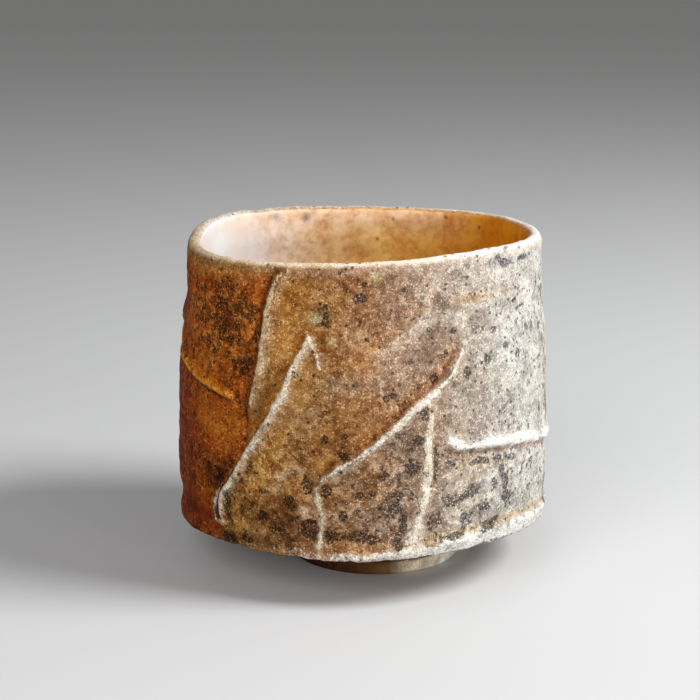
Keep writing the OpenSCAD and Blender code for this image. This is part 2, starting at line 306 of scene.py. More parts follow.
# Sections run from the right-hand side of the route to its left, as (distance, height)
RIDGES = {
    "ridge_rim_drop": Ridge(
        [[-114, 0.99], [-116, 0.96], [-118, 0.88], [-119.5, 0.77], [-120.5, 0.67], [-122, 0.59],
         [-123.5, 0.5], [-124.5, 0.43]],
        [(-7, 0), (-3.4, -0.12), (-1.9, -0.38), (-1.2, -0.3), (-0.4, 0.38), (0.3, 0.62), (1.2, 0.56),
         (2.8, 0.32), (5.5, 0.1), (9, 0)],
        2.0, (0, 7),
        # Lines: the dark brown one in the crease beside the crest is partly glaze pooled there and partly
        # painted shade
        [(-1.4, 0.75, hue(112, 60, 5), 0.95), (1.3, 1.1, hue(196, 158, 108), 0.45)],
        (-0.25, 0.35, 1.3, hue(232, 210, 174), 0.78), widths=(0.7, 0.9, 1.1, 1.05, 0.35)),
    "ridge_left_sweep": Ridge(
        [[-105.7, 0.786], [-109.5, 0.69], [-112, 0.63], [-114, 0.56], [-119.5, 0.44], [-125.5, 0.33],
         [-132, 0.21], [-136.5, 0.14], [-137.5, 0.09], [-137.5, 0.01]],
        [(-7, 0), (-4, -0.12), (-2.2, -0.42), (-1.4, -0.46), (-0.8, -0.1), (-0.25, 0.6), (0.2, 0.74),
         (0.8, 0.5), (1.5, 0.12), (2.4, -0.06), (5, 0)],
        2.0, (1.4, 5),
        [(-1.35, 0.4, hue(184, 108, 18), 0.85), (0.9, 1.0, hue(206, 180, 140), 0.5)],
        (0.0, 0.5, 0.95, hue(236, 226, 206), 0.95), widths=(0.6, 1.2, 1.6, 1.3, 1, 0.85, 0.8)),
    "ridge_fork_twig": Ridge(
        [[-104.2, 0.725], [-103.6, 0.69], [-102.6, 0.64]],
        [(-3, 0), (-1.3, -0.04), (-0.5, 0.3), (0.1, 0.4), (0.8, 0.1), (1.6, -0.1), (3, 0)],
        1.7, (1, 2.5),
        [(1.0, 0.4, SLATE, 0.5)],
        (0.0, 0.34, 0.34, hue(230, 218, 200), 1.0), soft=0.15),
    "ridge_centre_sweep": Ridge(
        [[-59, 0.75], [-60, 0.7], [-64, 0.615], [-69.3, 0.555], [-75, 0.512], [-80, 0.462],
         [-86, 0.398], [-92.5, 0.343], [-98, 0.303], [-102, 0.268]],
        [(-9, 0), (-6, -0.12), (-3.4, -0.5), (-1.8, -0.75), (-1, -0.25), (-0.25, 0.56), (0.3, 0.72),
         (1.0, 0.48), (2.2, 0.2), (4.5, 0.05), (7, 0)],
        2.0, (7, 2.5),
        # Lines: the ochre and dark brown ones in the groove above the crest are partly glaze pooled there and
        # partly painted shade
        [(-2.4, 1.3, OCHRE, 0.4), (-1.25, 0.65, hue(120, 70, 22), 0.85),
         (1.0, 1.0, hue(206, 190, 166), 0.35)],
        (0.0, 0.45, 0.9, hue(234, 226, 212), 0.95), widths=(0.5, 0.6, 1.1, 1.1, 1, 1, 0.9)),
    "ridge_lower_left": Ridge(
        [[-103.7, 0.235], [-103.6, 0.18], [-102.2, 0.12], [-102.8, 0.06], [-103.3, 0.01]],
        [(-3, 0), (-1.3, -0.06), (-0.5, 0.34), (0.1, 0.44), (0.9, 0.12), (1.8, -0.12), (4, 0)],
        1.7, (1.5, 0),
        [(0.1, 1.0, hue(206, 188, 160), 0.4)],
        (0.05, 0.7, 0.85, hue(218, 204, 180), 0.78), soft=0.2),
    "ridge_lower_right": Ridge(
        [[-69.8, 0.5], [-70.8, 0.43], [-71.3, 0.35], [-71.3, 0.27], [-71.6, 0.2], [-73, 0.12],
         [-74.5, 0.06], [-75.5, 0.01]],
        [(-5, 0), (-1.8, 0.04), (-0.9, 0.4), (-0.1, 0.64), (0.6, 0.5), (1.3, 0.04), (2.1, -0.14), (4, 0)],
        1.8, (4, 0),
        [(-0.1, 1.3, hue(206, 190, 166), 0.4)],
        (-0.1, 0.8, 0.8, hue(230, 220, 202), 0.84), widths=(0.6, 0.9, 1.1, 1.15, 1.4, 2)),
    "ridge_upper_soft": Ridge(
        [[-75, 0.92], [-72.5, 0.885], [-72, 0.85], [-75, 0.8], [-80, 0.757], [-86, 0.705], [-90, 0.68]],
        [(-6, 0), (-3, -0.2), (-1.5, -0.18), (-0.5, 0.2), (0.2, 0.36), (1.4, 0.3), (3.2, 0.1), (6, 0)],
        1.8, (2, 6),
        # Lines: the ochre tan one in the hollow above the crest is partly glaze colour and partly painted
        # shade
        [(-1.6, 0.9, OCHRE_TAN, 0.35), (0.5, 1.5, hue(206, 190, 170), 0.3)],
        (0.1, 0.7, 1.2, hue(194, 174, 152), 0.55), soft=0.3, widths=(0.6, 0.6, 0.8, 1, 1, 1)),
    "ridge_right_belt": Ridge(
        [[-67, 0.395], [-64.5, 0.36], [-62, 0.335], [-57, 0.322], [-46, 0.307], [-30, 0.286],
         [-12, 0.262], [8, 0.25], [26, 0.262], [40, 0.28]],
        [(-6, 0), (-3.2, -0.2), (-2.0, -0.36), (-1.35, -0.14), (-0.75, 0.42), (-0.1, 0.64), (0.7, 0.58),
         (1.6, 0.34), (3.2, 0.08), (6, 0)],
        2.2, (4, 8),
        # Lines: the honey one along the hollow under the crest is painted shadow
        [(-1.8, 0.6, HONEY, 0.55), (0.4, 1.5, CREAM, 0.5)],
        (0.0, 0.9, 1.6, hue(240, 237, 230), 0.95), widths=(0.6, 1.1, 1.1, 1, 1, 1)),
    "ridge_left_belt": Ridge(
        [[-128, 0.53], [-134, 0.542], [-141, 0.557], [-150, 0.58], [-157, 0.6], [-163, 0.625],
         [-169, 0.67], [-177, 0.72], [-188, 0.735]],
        [(-6, 0), (-3.2, 0.15), (-1.6, 0.52), (-0.5, 0.84), (0.25, 0.8), (0.85, 0.2), (1.5, -0.36),
         (2.6, -0.24), (5, 0)],
        2.2, (2.5, 7),
        # Lines: the umber one along the hollow under the crest is painted shadow
        [(-0.7, 1.4, ORANGE, 0.6), (1.4, 0.5, UMBER, 0.9)],
        (0.05, 0.9, 0.7, hue(232, 158, 60), 0.95)),
    "ridge_back_sweep": Ridge(
        [[128, 0.9], [122, 0.8], [114, 0.69], [103, 0.58], [90, 0.48], [76, 0.4], [64, 0.35]],
        [(-8, 0), (-4.5, 0.08), (-2, 0.25), (-0.9, 0.5), (-0.2, 0.68), (0.4, 0.5), (1.1, -0.2), (2, -0.44),
         (4, -0.14), (7, 0)],
        2.0, (6, 7),
        # Lines: the honey one along the groove under the crest is painted shadow
        [(1.5, 0.6, HONEY, 0.7)],
        (-0.1, 0.8, 0.6, hue(208, 184, 150), 0.7), widths=(0.5, 0.9, 1.3, 0.8, 1.1, 0.9, 0.6)),
    "ridge_back_drop": Ridge(
        [[112, 0.58], [116, 0.46], [118, 0.34], [115, 0.2], [112, 0.05]],
        [(-4, 0), (-1.5, -0.06), (-0.7, 0.34), (0, 0.5), (0.9, 0.3), (2.2, 0.05), (4, 0)],
        1.7, (4, 2),
        [(0, 1.2, SAND, 0.3)],
        (0.0, 0.6, 0.6, hue(196, 164, 124), 0.62), widths=(0.5, 1.2, 0.7, 1.3, 0.9)),
    "ridge_back_belt": Ridge(
        [[160, 0.66], [150, 0.56], [140, 0.48], [128, 0.43]],
        [(-7, 0), (-3.5, 0.1), (-1.5, 0.4), (-0.4, 0.66), (0.3, 0.6), (1, 0.05), (1.8, -0.34), (3.5, -0.1),
         (6, 0)],
        2.0, (5, 5),
        # Lines: the umber one along the hollow under the crest is painted shadow
        [(-0.2, 1.0, OCHRE, 0.5), (1.3, 0.5, UMBER, 0.5)],
        (0.0, 0.9, 0.6, hue(206, 156, 84), 0.7)),
}

# Faint runs of ridges and creases that lie in the wall's own skin
TRACES = {
    "twig_head": Ridge(
        [[-106.2, 0.765], [-105.5, 0.748], [-104.8, 0.733], [-104.1, 0.71]],
        [(-3, 0), (-1.3, -0.04), (-0.5, 0.24), (0.1, 0.34), (0.8, 0.1), (1.6, -0.08), (3, 0)],
        1.7, (0.8, 1.5),
        [],
        (0.0, 0.34, 0.34, hue(226, 212, 190), 0.85), soft=0.15),
    "upper_link": Ridge(
        [[-57.5, 0.8], [-61, 0.806], [-65, 0.81], [-69, 0.81], [-73, 0.8], [-78, 0.772]],
        [(-5, 0), (-2.4, -0.06), (-1, 0.12), (0, 0.22), (1.2, 0.12), (3, 0)],
        1.8, (2.5, 4),
        [(-0.1, 1.4, CREAM, 0.25)],
        (-0.1, 1.0, 1.0, hue(212, 198, 180), 0.4), soft=0.4),
    "centre_end": Ridge(
        [[-99.6, 0.292], [-101.3, 0.275], [-102.7, 0.254], [-103.5, 0.232], [-103.8, 0.2]],
        [(-4, 0), (-1.8, -0.2), (-1.1, -0.15), (-0.3, 0.42), (0.3, 0.5), (1.2, 0.2), (3, 0)],
        1.8, (2.5, 2),
        [],
        (0.05, 0.5, 0.75, hue(226, 214, 192), 0.8), soft=0.2),
    "sweep_side": Ridge(
        [[-136.2, 0.18], [-138, 0.15], [-139.6, 0.12], [-140.6, 0.085], [-140.8, 0.05], [-140.2, 0.015]],
        [(-3, 0), (-1.2, -0.12), (-0.4, 0.16), (0, 0.26), (0.5, 0), (1.2, -0.35), (2.4, -0.1), (4, 0)],
        1.8, (2.5, 1),
        # Lines: the soot one in the hollow beside it is painted shade
        [(-0.8, 0.35, OCHRE, 0.6), (1.0, 0.5, SOOT, 0.8)],
        (0.05, 0.35, 0.3, CREAM, 0.75), soft=0.12),
    "panel_crease": Ridge(
        [[-124.4, 0.53], [-125, 0.48], [-125.4, 0.43], [-125.8, 0.37], [-126.8, 0.335], [-129, 0.29]],
        [(-3, 0), (-1, -0.06), (-0.3, -0.24), (0.2, -0.2), (1, 0.06), (3, 0)],
        1.8, (2, 3),
        # Lines: the dark one along the crease is partly glaze pooled there and partly painted shade
        [(0, 0.32, hue(96, 34, 8), 0.75)],
        (0, 1, 1, CREAM, 0.0), soft=0.15),
}
LINES = {**RIDGES, **TRACES}

# Gentle swells and hollows pressed into the wall: angle, height, half width, half height, depth
SWELLS = [
    (-134, 62, 15, 10, -0.35),
    (-168, 14, 12, 8, -0.9),
    (-172, 65, 12, 8, -0.6),
    (-170, 56, 12, 7, -0.75),
    (-116, 50, 7, 12, -0.15),
    (-136, 33, 11, 9, -0.3),
    (-92, 58, 16, 9, 0.22),
    (-112, 32, 12, 8, 0.2),
    (-88, 28, 12, 8, -0.22),
    (-50, 52, 16, 10, 0.12),
    (-40, 24, 20, 6, -0.25),
    (-8, 44, 14, 12, -0.3),
    (-2, 29, 11, 5, -0.5),
    (34, 52, 18, 12, 0.2),
    (70, 30, 22, 10, -0.3),
    (130, 60, 20, 14, -0.3),
    (168, 36, 16, 12, 0.25),
]

# Lumps of the skin: height, size and seed
SKIN_LUMPS = [(0.26, 11, 3.7), (0.16, 3.4, 9.1), (0.10, 1.35, 5.3)]
# Small pits: angle, height, half width, half height, depth
PITS = [(-91.2, 72.8, 0.55, 0.5, -0.5), (-146, 26.6, 1.2, 0.8, -0.35)]
# Where the throwing lines show on the right: angle, height, half width, half height
THROWING_PLACE = (-40, 68, 34, 14)
# Size and seed of the waver of the ridges
WAVER = (2.4, 41.0)
# How far the wall lies lower under the middle of a strip, and the width over which it gets there
STRIP_DIP = 0.3
DIP_RUN = 1.1
DIP_EDGE = 0.25


def near(angle, z, at, height, wide, tall, lean=0.0):
    """How near each point lies to a place, from 1 at its middle to 0 outside its half sizes."""
    s = turn_from(angle, at) * DEGREE
    t = z - height
    turn = math.radians(lean)
    across = (s * math.cos(turn) + t * math.sin(turn)) / wide
    up = (t * math.cos(turn) - s * math.sin(turn)) / tall
    return ease(1 - np.sqrt(across ** 2 + up ** 2))


def roughness(angle, z, size, seed):
    """Smooth noise on the skin, whose lumps are about size millimetres across."""
    turn = np.radians(angle)
    x = np.cos(turn) * SKIN_R / size + seed
    y = np.sin(turn) * SKIN_R / size
    w = z / size
    return np.array([noise.noise(Vector(p)) for p in zip(x.tolist(), y.tolist(), w.tolist())])


def lumps(angle, z, layers):
    """Sum of layers of roughness, each a height, a size and a seed."""
    return sum(height * roughness(angle, z, size, seed) for height, size, seed in layers)


def throwing_lines(angle, z, pitch, climb=1):
    """Waves left by throwing, which climb as they go round."""
    return np.sin(z * pitch + np.radians(angle) * climb)


def skin(angle, z):
    """Height over the thrown wall, how far the wall dips under the strips, and the ridges' places."""
    height = np.zeros(angle.shape)
    dip = np.zeros(angle.shape)
    places = {}
    waver = roughness(angle, z, *WAVER)
    for name, ridge in LINES.items():
        along, away = ridge.place(angle, z)
        height += ridge.height(along, away + 0.3 * waver) * (1 + 0.5 * waver)
        if name in RIDGES:
            inside = ridge.half_at(along) - DIP_EDGE - np.abs(away)
            dip = np.maximum(dip, STRIP_DIP * ease(inside / DIP_RUN))
        places[name] = (along, away)
    for at, level, wide, tall, depth in SWELLS + PITS:
        height += depth * near(angle, z, at, level, wide, tall)
    height += 0.13 * near(angle, z, *THROWING_PLACE) * throwing_lines(angle, z, 1.25, 0.6)
    height += 0.05 * throwing_lines(angle, z, 0.9) * ease((z - 20) / 10)
    return height + lumps(angle, z, SKIN_LUMPS), dip, places


def tone_round(table, angle):
    """Tone at an angle, from a table that runs from -180 to 180."""
    turn, at = turn_from(angle), [row[0] for row in table]
    return np.stack([np.interp(turn, at, [row[1][k] for row in table]) for k in range(3)], axis=-1)


def interp_round(table, angle, k):
    """Value k of a table's rows at an angle, from a table that runs from -180 to 180."""
    return np.interp(turn_from(angle), [row[0] for row in table], [row[k] for row in table])


# Tones of the skin round the cup at half height; the left panel ends at PANEL_TURN here
ROUND_TONES = [
    (-180, hue(128, 52, 12)), (-153, hue(154, 70, 9)), (-140, hue(172, 86, 18)), (-124, hue(162, 80, 18)),
    (-122, hue(164, 110, 46)), (-116, hue(178, 126, 62)), (-108, hue(174, 126, 70)), (-98, hue(158, 110, 62)),
    (-88, hue(160, 116, 78)), (-78, hue(158, 130, 106)), (-68, hue(156, 132, 112)), (-60, hue(168, 154, 138)),
    (-48, hue(176, 168, 158)), (-30, hue(197, 192, 185)), (-5, hue(206, 201, 193)), (20, hue(196, 186, 172)),
    (50, hue(182, 160, 134)), (85, hue(166, 130, 94)), (115, hue(160, 106, 54)), (145, hue(140, 72, 26)),
    (180, hue(128, 52, 12))]

# Right-hand edge of the left panel, as the wall's share and the angle
PANEL_EDGE = [(0, -137.5), (0.14, -136.5), (0.21, -132), (0.33, -126.5), (0.43, -124.5), (0.5, -123.5),
              (0.59, -122), (0.67, -120.5), (0.77, -119.5), (0.88, -118), (0.96, -116), (1, -114)]

# Where the left panel ends in the table, and the width of skin beside it that is drawn to its edge
PANEL_TURN = -123
PANEL_PULL = 34
PANEL_PULL_RUN = 22


def skin_tone(angle, z):
    """Tone of the skin, whose jump in the table follows the left panel's edge."""
    edge = np.interp(wall_share(angle, z), [e[0] for e in PANEL_EDGE], [e[1] for e in PANEL_EDGE])
    turn = turn_from(angle)
    pull = ease((PANEL_PULL - np.abs(turn - PANEL_TURN)) / PANEL_PULL_RUN)
    return tone_round(ROUND_TONES, turn - (edge - PANEL_TURN) * pull)


# Tones of the lip's outer edge round the cup
RIM_TONES = [
    (-180, hue(170, 124, 76)), (-150, hue(158, 112, 58)), (-130, hue(166, 122, 70)),
    (-112, hue(170, 130, 88)), (-95, hue(172, 138, 110)), (-75, hue(190, 168, 148)),
    (-55, hue(206, 196, 184)), (0, CREAM), (40, SHELL), (80, SAND), (130, hue(190, 150, 110)),
    (180, hue(170, 124, 76))]

# Tones of the lip's crest round the cup
CREST_TONES = [
    (-180, hue(206, 180, 146)), (-150, hue(212, 188, 154)), (-125, hue(232, 212, 184)),
    (-95, hue(232, 212, 188)), (-70, hue(240, 230, 214)), (-50, ASH_WHITE), (0, ASH_WHITE), (50, CREAM),
    (90, SHELL), (140, SHELL), (180, hue(206, 180, 146))]

# Stains and blushes of the skin, with two spots of painted shade: angle, height, half width, half height,
# lean, tone, strength
STAINS = [
    # left panel above its belt
    (-142, 63, 16, 12, 0, hue(186, 104, 34), 0.8),
    (-134, 55, 9, 5, 0, hue(182, 106, 26), 0.7),
    (-127, 66, 5, 9, 10, hue(192, 120, 50), 0.6),
    (-132, 63, 4, 6, 0, hue(110, 56, 18), 0.35),
    (-126, 53.5, 2.4, 4, 15, UMBER, 0.6),
    (-137, 74.6, 20, 3.4, 0, hue(184, 124, 56), 0.9),
    (-146, 51, 12, 3, 4, hue(176, 92, 20), 0.6),
    # left panel under its belt
    (-136, 40, 9, 6, 0, hue(186, 110, 28), 0.85),
    (-129, 41, 3.5, 6, 10, hue(148, 80, 14), 0.7),
    # painted shade: dark on the shadow side of the left sweep's lower end
    (-136, 26.5, 7, 7, -28, hue(60, 29, 6), 0.85),
    (-146, 29, 8, 6, -20, hue(104, 46, 14), 0.6),
    (-149, 16, 12, 5.5, 0, hue(114, 40, 2), 0.95),
    # painted shade in the hollow beside the left sweep's foot
    (-139.5, 20, 1.8, 4.5, 0, hue(30, 18, 10), 0.9),
    # strip beside the drop from the rim
    (-113, 70, 6, 6, 0, hue(164, 104, 44), 0.7),
    (-115.5, 58, 3, 8, -12, hue(188, 138, 76), 0.75),
    (-120.5, 45, 3.2, 8, -18, hue(120, 74, 6), 0.95),
    (-122.5, 38, 2, 5, -20, hue(134, 86, 26), 0.7),
    # top of the front
    (-105, 75, 7, 3.4, 0, hue(116, 74, 40), 0.8),
    (-96, 73.5, 8, 4, 0, hue(130, 86, 56), 0.8),
    (-82, 74, 7, 3.6, 0, hue(150, 118, 94), 0.8),
    (-68, 74, 7, 4, 0, hue(160, 140, 124), 0.7),
    (-97, 67, 8, 5, 0, hue(152, 108, 68), 0.6),
    (-102, 60, 6, 6, 0, hue(122, 70, 14), 0.8),
    (-93, 62.5, 7, 5, 20, hue(172, 134, 98), 0.65),
    (-80, 67, 7, 5, 0, hue(168, 134, 108), 0.7),
    (-104.2, 65.4, 2.2, 1.6, 0, hue(162, 150, 110), 0.95),
    (-87.2, 74.8, 2.2, 2.0, 0, hue(198, 188, 140), 0.9),
    (-91.2, 72.8, 0.7, 0.6, 0, hue(20, 8, 6), 1.0),
    (-92.2, 70, 2.4, 2.0, 0, SLATE, 0.35),
    (-100, 60.5, 1.5, 1.0, 30, hue(196, 176, 120), 0.5),
    # middle of the front
    (-108, 43, 8, 6, 0, hue(166, 126, 86), 0.65),
    (-99, 40, 9, 3, 24, hue(150, 98, 48), 0.7),
    (-88, 46, 7, 2.8, 32, hue(134, 86, 48), 0.75),
    (-81, 53.5, 8, 4, 34, hue(188, 158, 134), 0.65),
    (-71, 60, 8, 4.2, 36, hue(128, 106, 92), 0.75),
    (-96, 51, 7, 4, 10, hue(166, 136, 110), 0.55),
    # bottom of the front
    (-120, 34, 7, 6, 30, hue(164, 118, 56), 0.75),
    (-109, 34, 7, 6, 0, hue(130, 88, 44), 0.75),
    (-125, 24, 5, 6, 10, hue(166, 112, 54), 0.7),
    (-116, 20, 12, 5, 0, hue(94, 50, 18), 0.88),
    (-132.5, 13.2, 7.5, 2.6, 0, hue(62, 36, 18), 0.85),
    (-137.4, 16.2, 2.6, 0.7, 8, hue(222, 200, 166), 0.85),
    (-80, 38, 7, 5, 0, hue(114, 92, 74), 0.7),
    (-119, 13.8, 11, 2.6, 0, hue(80, 50, 28), 0.75),
    (-104, 17, 6, 3, 0, hue(96, 62, 34), 0.6),
    (-94, 30, 8, 6, 0, hue(122, 96, 70), 0.7),
    (-88, 21, 9, 6, 0, hue(114, 98, 80), 0.75),
    (-79, 30, 4, 10, 0, hue(144, 120, 96), 0.6),
    (-81, 24, 4, 3, 0, hue(170, 150, 130), 0.4),
    (-73.5, 69.3, 0.7, 2.6, 37, hue(232, 220, 204), 0.9),
    (-113.5, 30.5, 2.6, 1.6, 25, hue(212, 188, 150), 0.55),
    (-108.8, 31.8, 1.6, 1.2, 0, hue(208, 186, 150), 0.5),
    (-116, 27.3, 2.0, 1.3, 0, hue(202, 176, 134), 0.5),
    (-107.2, 22.2, 1.6, 1.6, 0, hue(214, 192, 154), 0.6),
    (-114.5, 23.5, 5, 3, 0, hue(104, 52, 22), 0.6),
    (-86, 34, 2.2, 1.4, 20, hue(196, 174, 146), 0.5),
    (-84.5, 18.3, 1.8, 1.4, 0, hue(200, 180, 152), 0.55),
    (-93.5, 23.6, 1.8, 1.2, 0, hue(190, 166, 134), 0.5),
    (-98.5, 21.5, 1.4, 1.2, 0, hue(196, 172, 138), 0.5),
    (-74, 17.5, 2.2, 5, -6, CHALK, 0.6),
    # right side
    (-61, 70, 6, 6, 0, hue(160, 142, 124), 0.7),
    (-50, 68.6, 14, 1.2, 2, hue(170, 132, 84), 0.75),
    (-50, 73, 22, 4, 0, hue(198, 188, 176), 0.5),
    (-44, 70, 8, 5, 0, hue(220, 212, 200), 0.6),
    (-42, 75.2, 7, 1.8, 0, hue(150, 148, 152), 0.5),
    (-30, 75, 4, 1.6, 0, hue(150, 148, 152), 0.5),
    (-61, 47, 7, 5, 0, hue(152, 140, 126), 0.7),
    (-46, 45, 6, 5, 0, hue(160, 152, 142), 0.5),
    (-38, 57, 8, 8, 0, hue(204, 203, 200), 0.6),
    (-50, 27, 5, 5, 0, hue(200, 196, 190), 0.55),
    (-61, 18.5, 5, 4, 0, hue(198, 190, 176), 0.55),
    (-64, 26, 6, 9, 0, hue(190, 178, 160), 0.6),
    (-52, 23, 3.4, 1.4, 12, hue(226, 218, 200), 0.7),
    (-57, 29, 3.2, 1.0, 0, hue(214, 200, 174), 0.6),
    (-42, 18.3, 4.0, 1.0, 24, hue(232, 228, 216), 0.7),
    (-49, 28.6, 2.4, 1.2, 0, hue(226, 220, 206), 0.6),
    (-54, 31.5, 12, 1.6, -6, hue(176, 148, 108), 0.5),
    (-45, 20, 10, 3, 4, hue(144, 138, 130), 0.65),
    (-30, 28, 10, 6, 0, hue(206, 202, 196), 0.5),
    # back
    (60, 60, 18, 12, 20, SAND, 0.6),
    (96, 64, 16, 9, -15, PINK_TAN, 0.5),
    (118, 28, 16, 9, 10, UMBER, 0.4),
    (140, 62, 14, 10, 0, hue(150, 70, 20), 0.6),
    (76, 24, 14, 8, 0, SHELL, 0.5),
    (160, 30, 14, 10, 0, hue(176, 96, 26), 0.5),
    (172, 20, 18, 6, 0, EMBER, 0.6),
]

# The base edge round the cup: how far it is a bevel, how far it stands out, and how pale its ash is
EDGE_SHAPE = [
    (-180, 0, 0.4, 0.2), (-164, 0, 0.2, 0), (-152, 0, 0.9, 0), (-140, 0, 0.6, 0), (-128, 0, 0.5, 0.15),
    (-110, 0, 0.6, 0.4), (-95, 0.1, 0.8, 0.75), (-76, 0.5, 0.9, 0.85), (-62, 1, 1, 0.95), (30, 1, 1, 0.9),
    (80, 0.5, 0.9, 0.7), (125, 0, 0.8, 0.5), (180, 0, 0.4, 0.2)]

# How densely marks lie round the cup: angle, dark grains, cream flecks, dark specks
ROUND_MARKS = [
    (-180, 0.3, 0.35, 0.4), (-150, 0.4, 0.4, 0.6), (-128, 0.4, 0.4, 0.5), (-116, 0.1, 0.42, 0.3),
    (-100, 0.16, 0.45, 0.35), (-80, 0.18, 0.45, 0.35), (-60, 0.18, 0.46, 0.5), (-35, 0.24, 0.5, 0.7),
    (-15, 0.4, 0.6, 0.9), (10, 0.3, 0.6, 0.7), (50, 0.3, 0.6, 0.5), (90, 0.34, 0.6, 0.4),
    (130, 0.4, 0.5, 0.5), (180, 0.3, 0.35, 0.4)]

# Places with more or fewer marks: angle, height, half width, half height, lean, what it adds to each
MARKS = [
    (-72, 59, 10, 6, 36, (-0.05, -0.3, -0.1)),
    (-135, 63, 14, 11, 0, (0.45, 0.4, 0.3)),
    (-127, 54, 3, 5, 0, (0.35, 0, 0)),
    (-137, 75, 22, 3, 0, (-0.5, 0, -0.3)),
    (-140, 42, 16, 8, 0, (-0.25, -0.1, 0.3)),
    (-136, 27, 8, 7, -25, (0.3, 0, 0)),
    (-121, 44, 3.4, 8, -18, (0, -0.4, 0)),
    (-150, 17, 12, 5, 0, (-0.6, -0.4, -0.4)),
    (-104.2, 65.4, 2.0, 1.2, 0, (-0.6, 0, -0.4)),
    (-87.2, 74.9, 2, 1.6, 0, (-0.6, -0.3, -0.4)),
    (-118, 33, 9, 9, 30, (0.05, 0.4, 0)),
    (-103, 23, 8, 7, 0, (0.2, 0.25, 0)),
    (-113, 19, 8, 4, 0, (0.2, 0.3, 0.2)),
    (-86, 30, 10, 9, 0, (0.12, 0.3, 0)),
    (-84, 18, 10, 5, 0, (0.2, 0.15, 0)),
    (-58, 23, 9, 5, 10, (0.1, 0.1, 0)),
    (-60, 18, 12, 2.4, 8, (0.15, 0, 0)),
    (-32, 75, 16, 3, 0, (-0.15, 0, -0.2)),
]

# Clusters of dark grains: angle, height, half width, half height, lean
CLUSTERS = [
    (-101.2, 65.2, 0.9, 1.3, 0), (-134, 13.2, 1.6, 0.8, 0), (-127, 14, 1.4, 0.8, 0),
    (-84.5, 30.5, 1.4, 0.9, 0), (-88, 26.5, 1.1, 0.8, 20), (-74, 38.5, 1.6, 1.0, 0), (-117, 17, 1.6, 1.0, 0),
    (-121, 20, 1.2, 1.0, 0), (-112, 15.5, 1.8, 0.8, 0), (-58, 20, 1.8, 1.0, 10), (-52, 21.5, 1.6, 0.9, 0),
    (-101.5, 67.2, 1.3, 0.9, 0), (-103.8, 67.6, 1.4, 0.7, 0), (-92.2, 69.8, 1.7, 1.4, 0),
    (-110.2, 53.3, 0.9, 0.9, 0), (-79.4, 71.5, 1.0, 0.7, 0), (-71, 62.5, 0.9, 0.7, 0),
    (-62.7, 61.9, 0.8, 0.7, 0), (-65.9, 56.8, 0.7, 1.2, -20), (-69.8, 52.1, 0.9, 1.2, -20),
    (-76.8, 55.9, 1.1, 0.7, 20), (-83.5, 47.9, 1.1, 0.8, 30), (-58.8, 52.5, 1.0, 1.1, 0),
    (-50.7, 54.3, 1.1, 0.9, 0), (-42.8, 56.7, 0.9, 0.7, 0), (-48, 60.6, 1.2, 0.7, 0),
    (-36.8, 54.3, 1.0, 1.1, 0), (-101.3, 39.2, 1.0, 0.9, 0), (-95.6, 39.8, 0.9, 0.8, 0),
    (-96.5, 35.6, 1.8, 0.8, 0), (-97, 31.9, 0.9, 0.7, 0), (-72.6, 44.6, 1.4, 1.6, 20),
    (-79.9, 40, 1.4, 1.0, 0), (-75.3, 32.6, 2.2, 1.8, 0), (-68.9, 33.4, 0.6, 4.0, 0),
    (-64.4, 32.3, 1.4, 0.9, 0), (-54, 32.1, 2.6, 0.8, 0), (-47.2, 31.6, 1.8, 0.8, 0),
    (-40.5, 31, 1.8, 0.7, 0), (-45.1, 28.2, 0.9, 1.8, 0), (-56.7, 25.5, 2.8, 1.3, 15),
    (-62.3, 24, 2.2, 1.1, 0), (-48, 25.9, 1.2, 1.5, 0), (-43, 25, 1, 2.4, 0), (-42.4, 22.2, 1.6, 1.1, 0),
    (-76, 25.9, 1.2, 1.1, 0), (-80.4, 26.1, 1.4, 1.1, 0), (-81.6, 22.9, 2.2, 1.3, 0),
    (-68.4, 20, 1.9, 1.6, 0), (-78.5, 20, 1.0, 2.6, 0), (-79.6, 15, 0.8, 2.0, 0),
    (-49.3, 17, 3.4, 0.8, 35), (-63, 15.5, 2.2, 0.7, 10), (-92.3, 16.9, 2.6, 1.1, 0),
    (-87, 16, 1.8, 0.9, 0), (-91.5, 26.5, 1.0, 0.8, 0), (-95.8, 21.6, 1.0, 0.9, 0),
    (-111.3, 24.3, 1.9, 1.5, 0), (-106.9, 28.3, 1.2, 2.0, 0), (-101, 27.2, 1.2, 1.8, 0),
    (-106, 18.1, 1.7, 2.0, 0), (-99.5, 16.9, 2.0, 1.6, 0), (-134.1, 20.7, 0.9, 2.2, 0),
    (-120.8, 25.9, 0.9, 0.7, 0), (-45, 76, 2.4, 0.8, 0), (-41, 74.8, 2.2, 0.8, 0), (-31, 75.2, 2.4, 0.8, 0),
    (140, 66, 3, 2, 0), (104, 44, 2, 3, 10), (82, 22, 3, 2, 0), (64, 58, 2, 1.4, 0), (126, 24, 3, 2, 20),
    (96, 70, 2, 1, 0), (40, 34, 2, 1, 0), (22, 62, 1.5, 1.2, 0), (152, 40, 2, 2.4, 0),
]

# How much wider than its table says each kind of place fades out, and the grains that a cluster adds
STAIN_SPREAD = 1.25
MARK_SPREAD = 1.2
CLUSTER_SPREAD = 1.8
CLUSTER_GRAINS = 1.1
# Size and seed of the wandering of tones and of the fray along the ridges, and how far the fray shifts them
WANDER = (5, 21.0)
FRAY = (1.5, 27.0)
FRAY_SHIFT = 0.3
# The lip's band on the skin: how far under the lip it starts, and its height
RIM_BAND_DROP = 1.8
RIM_BAND_H = 2.2
# The crease over the bevel of the base edge: its tone, its rise over the edge and its half height
CREASE_TONE = hue(180, 154, 106)
CREASE_RISE = 0.55
CREASE_HALF = 0.8


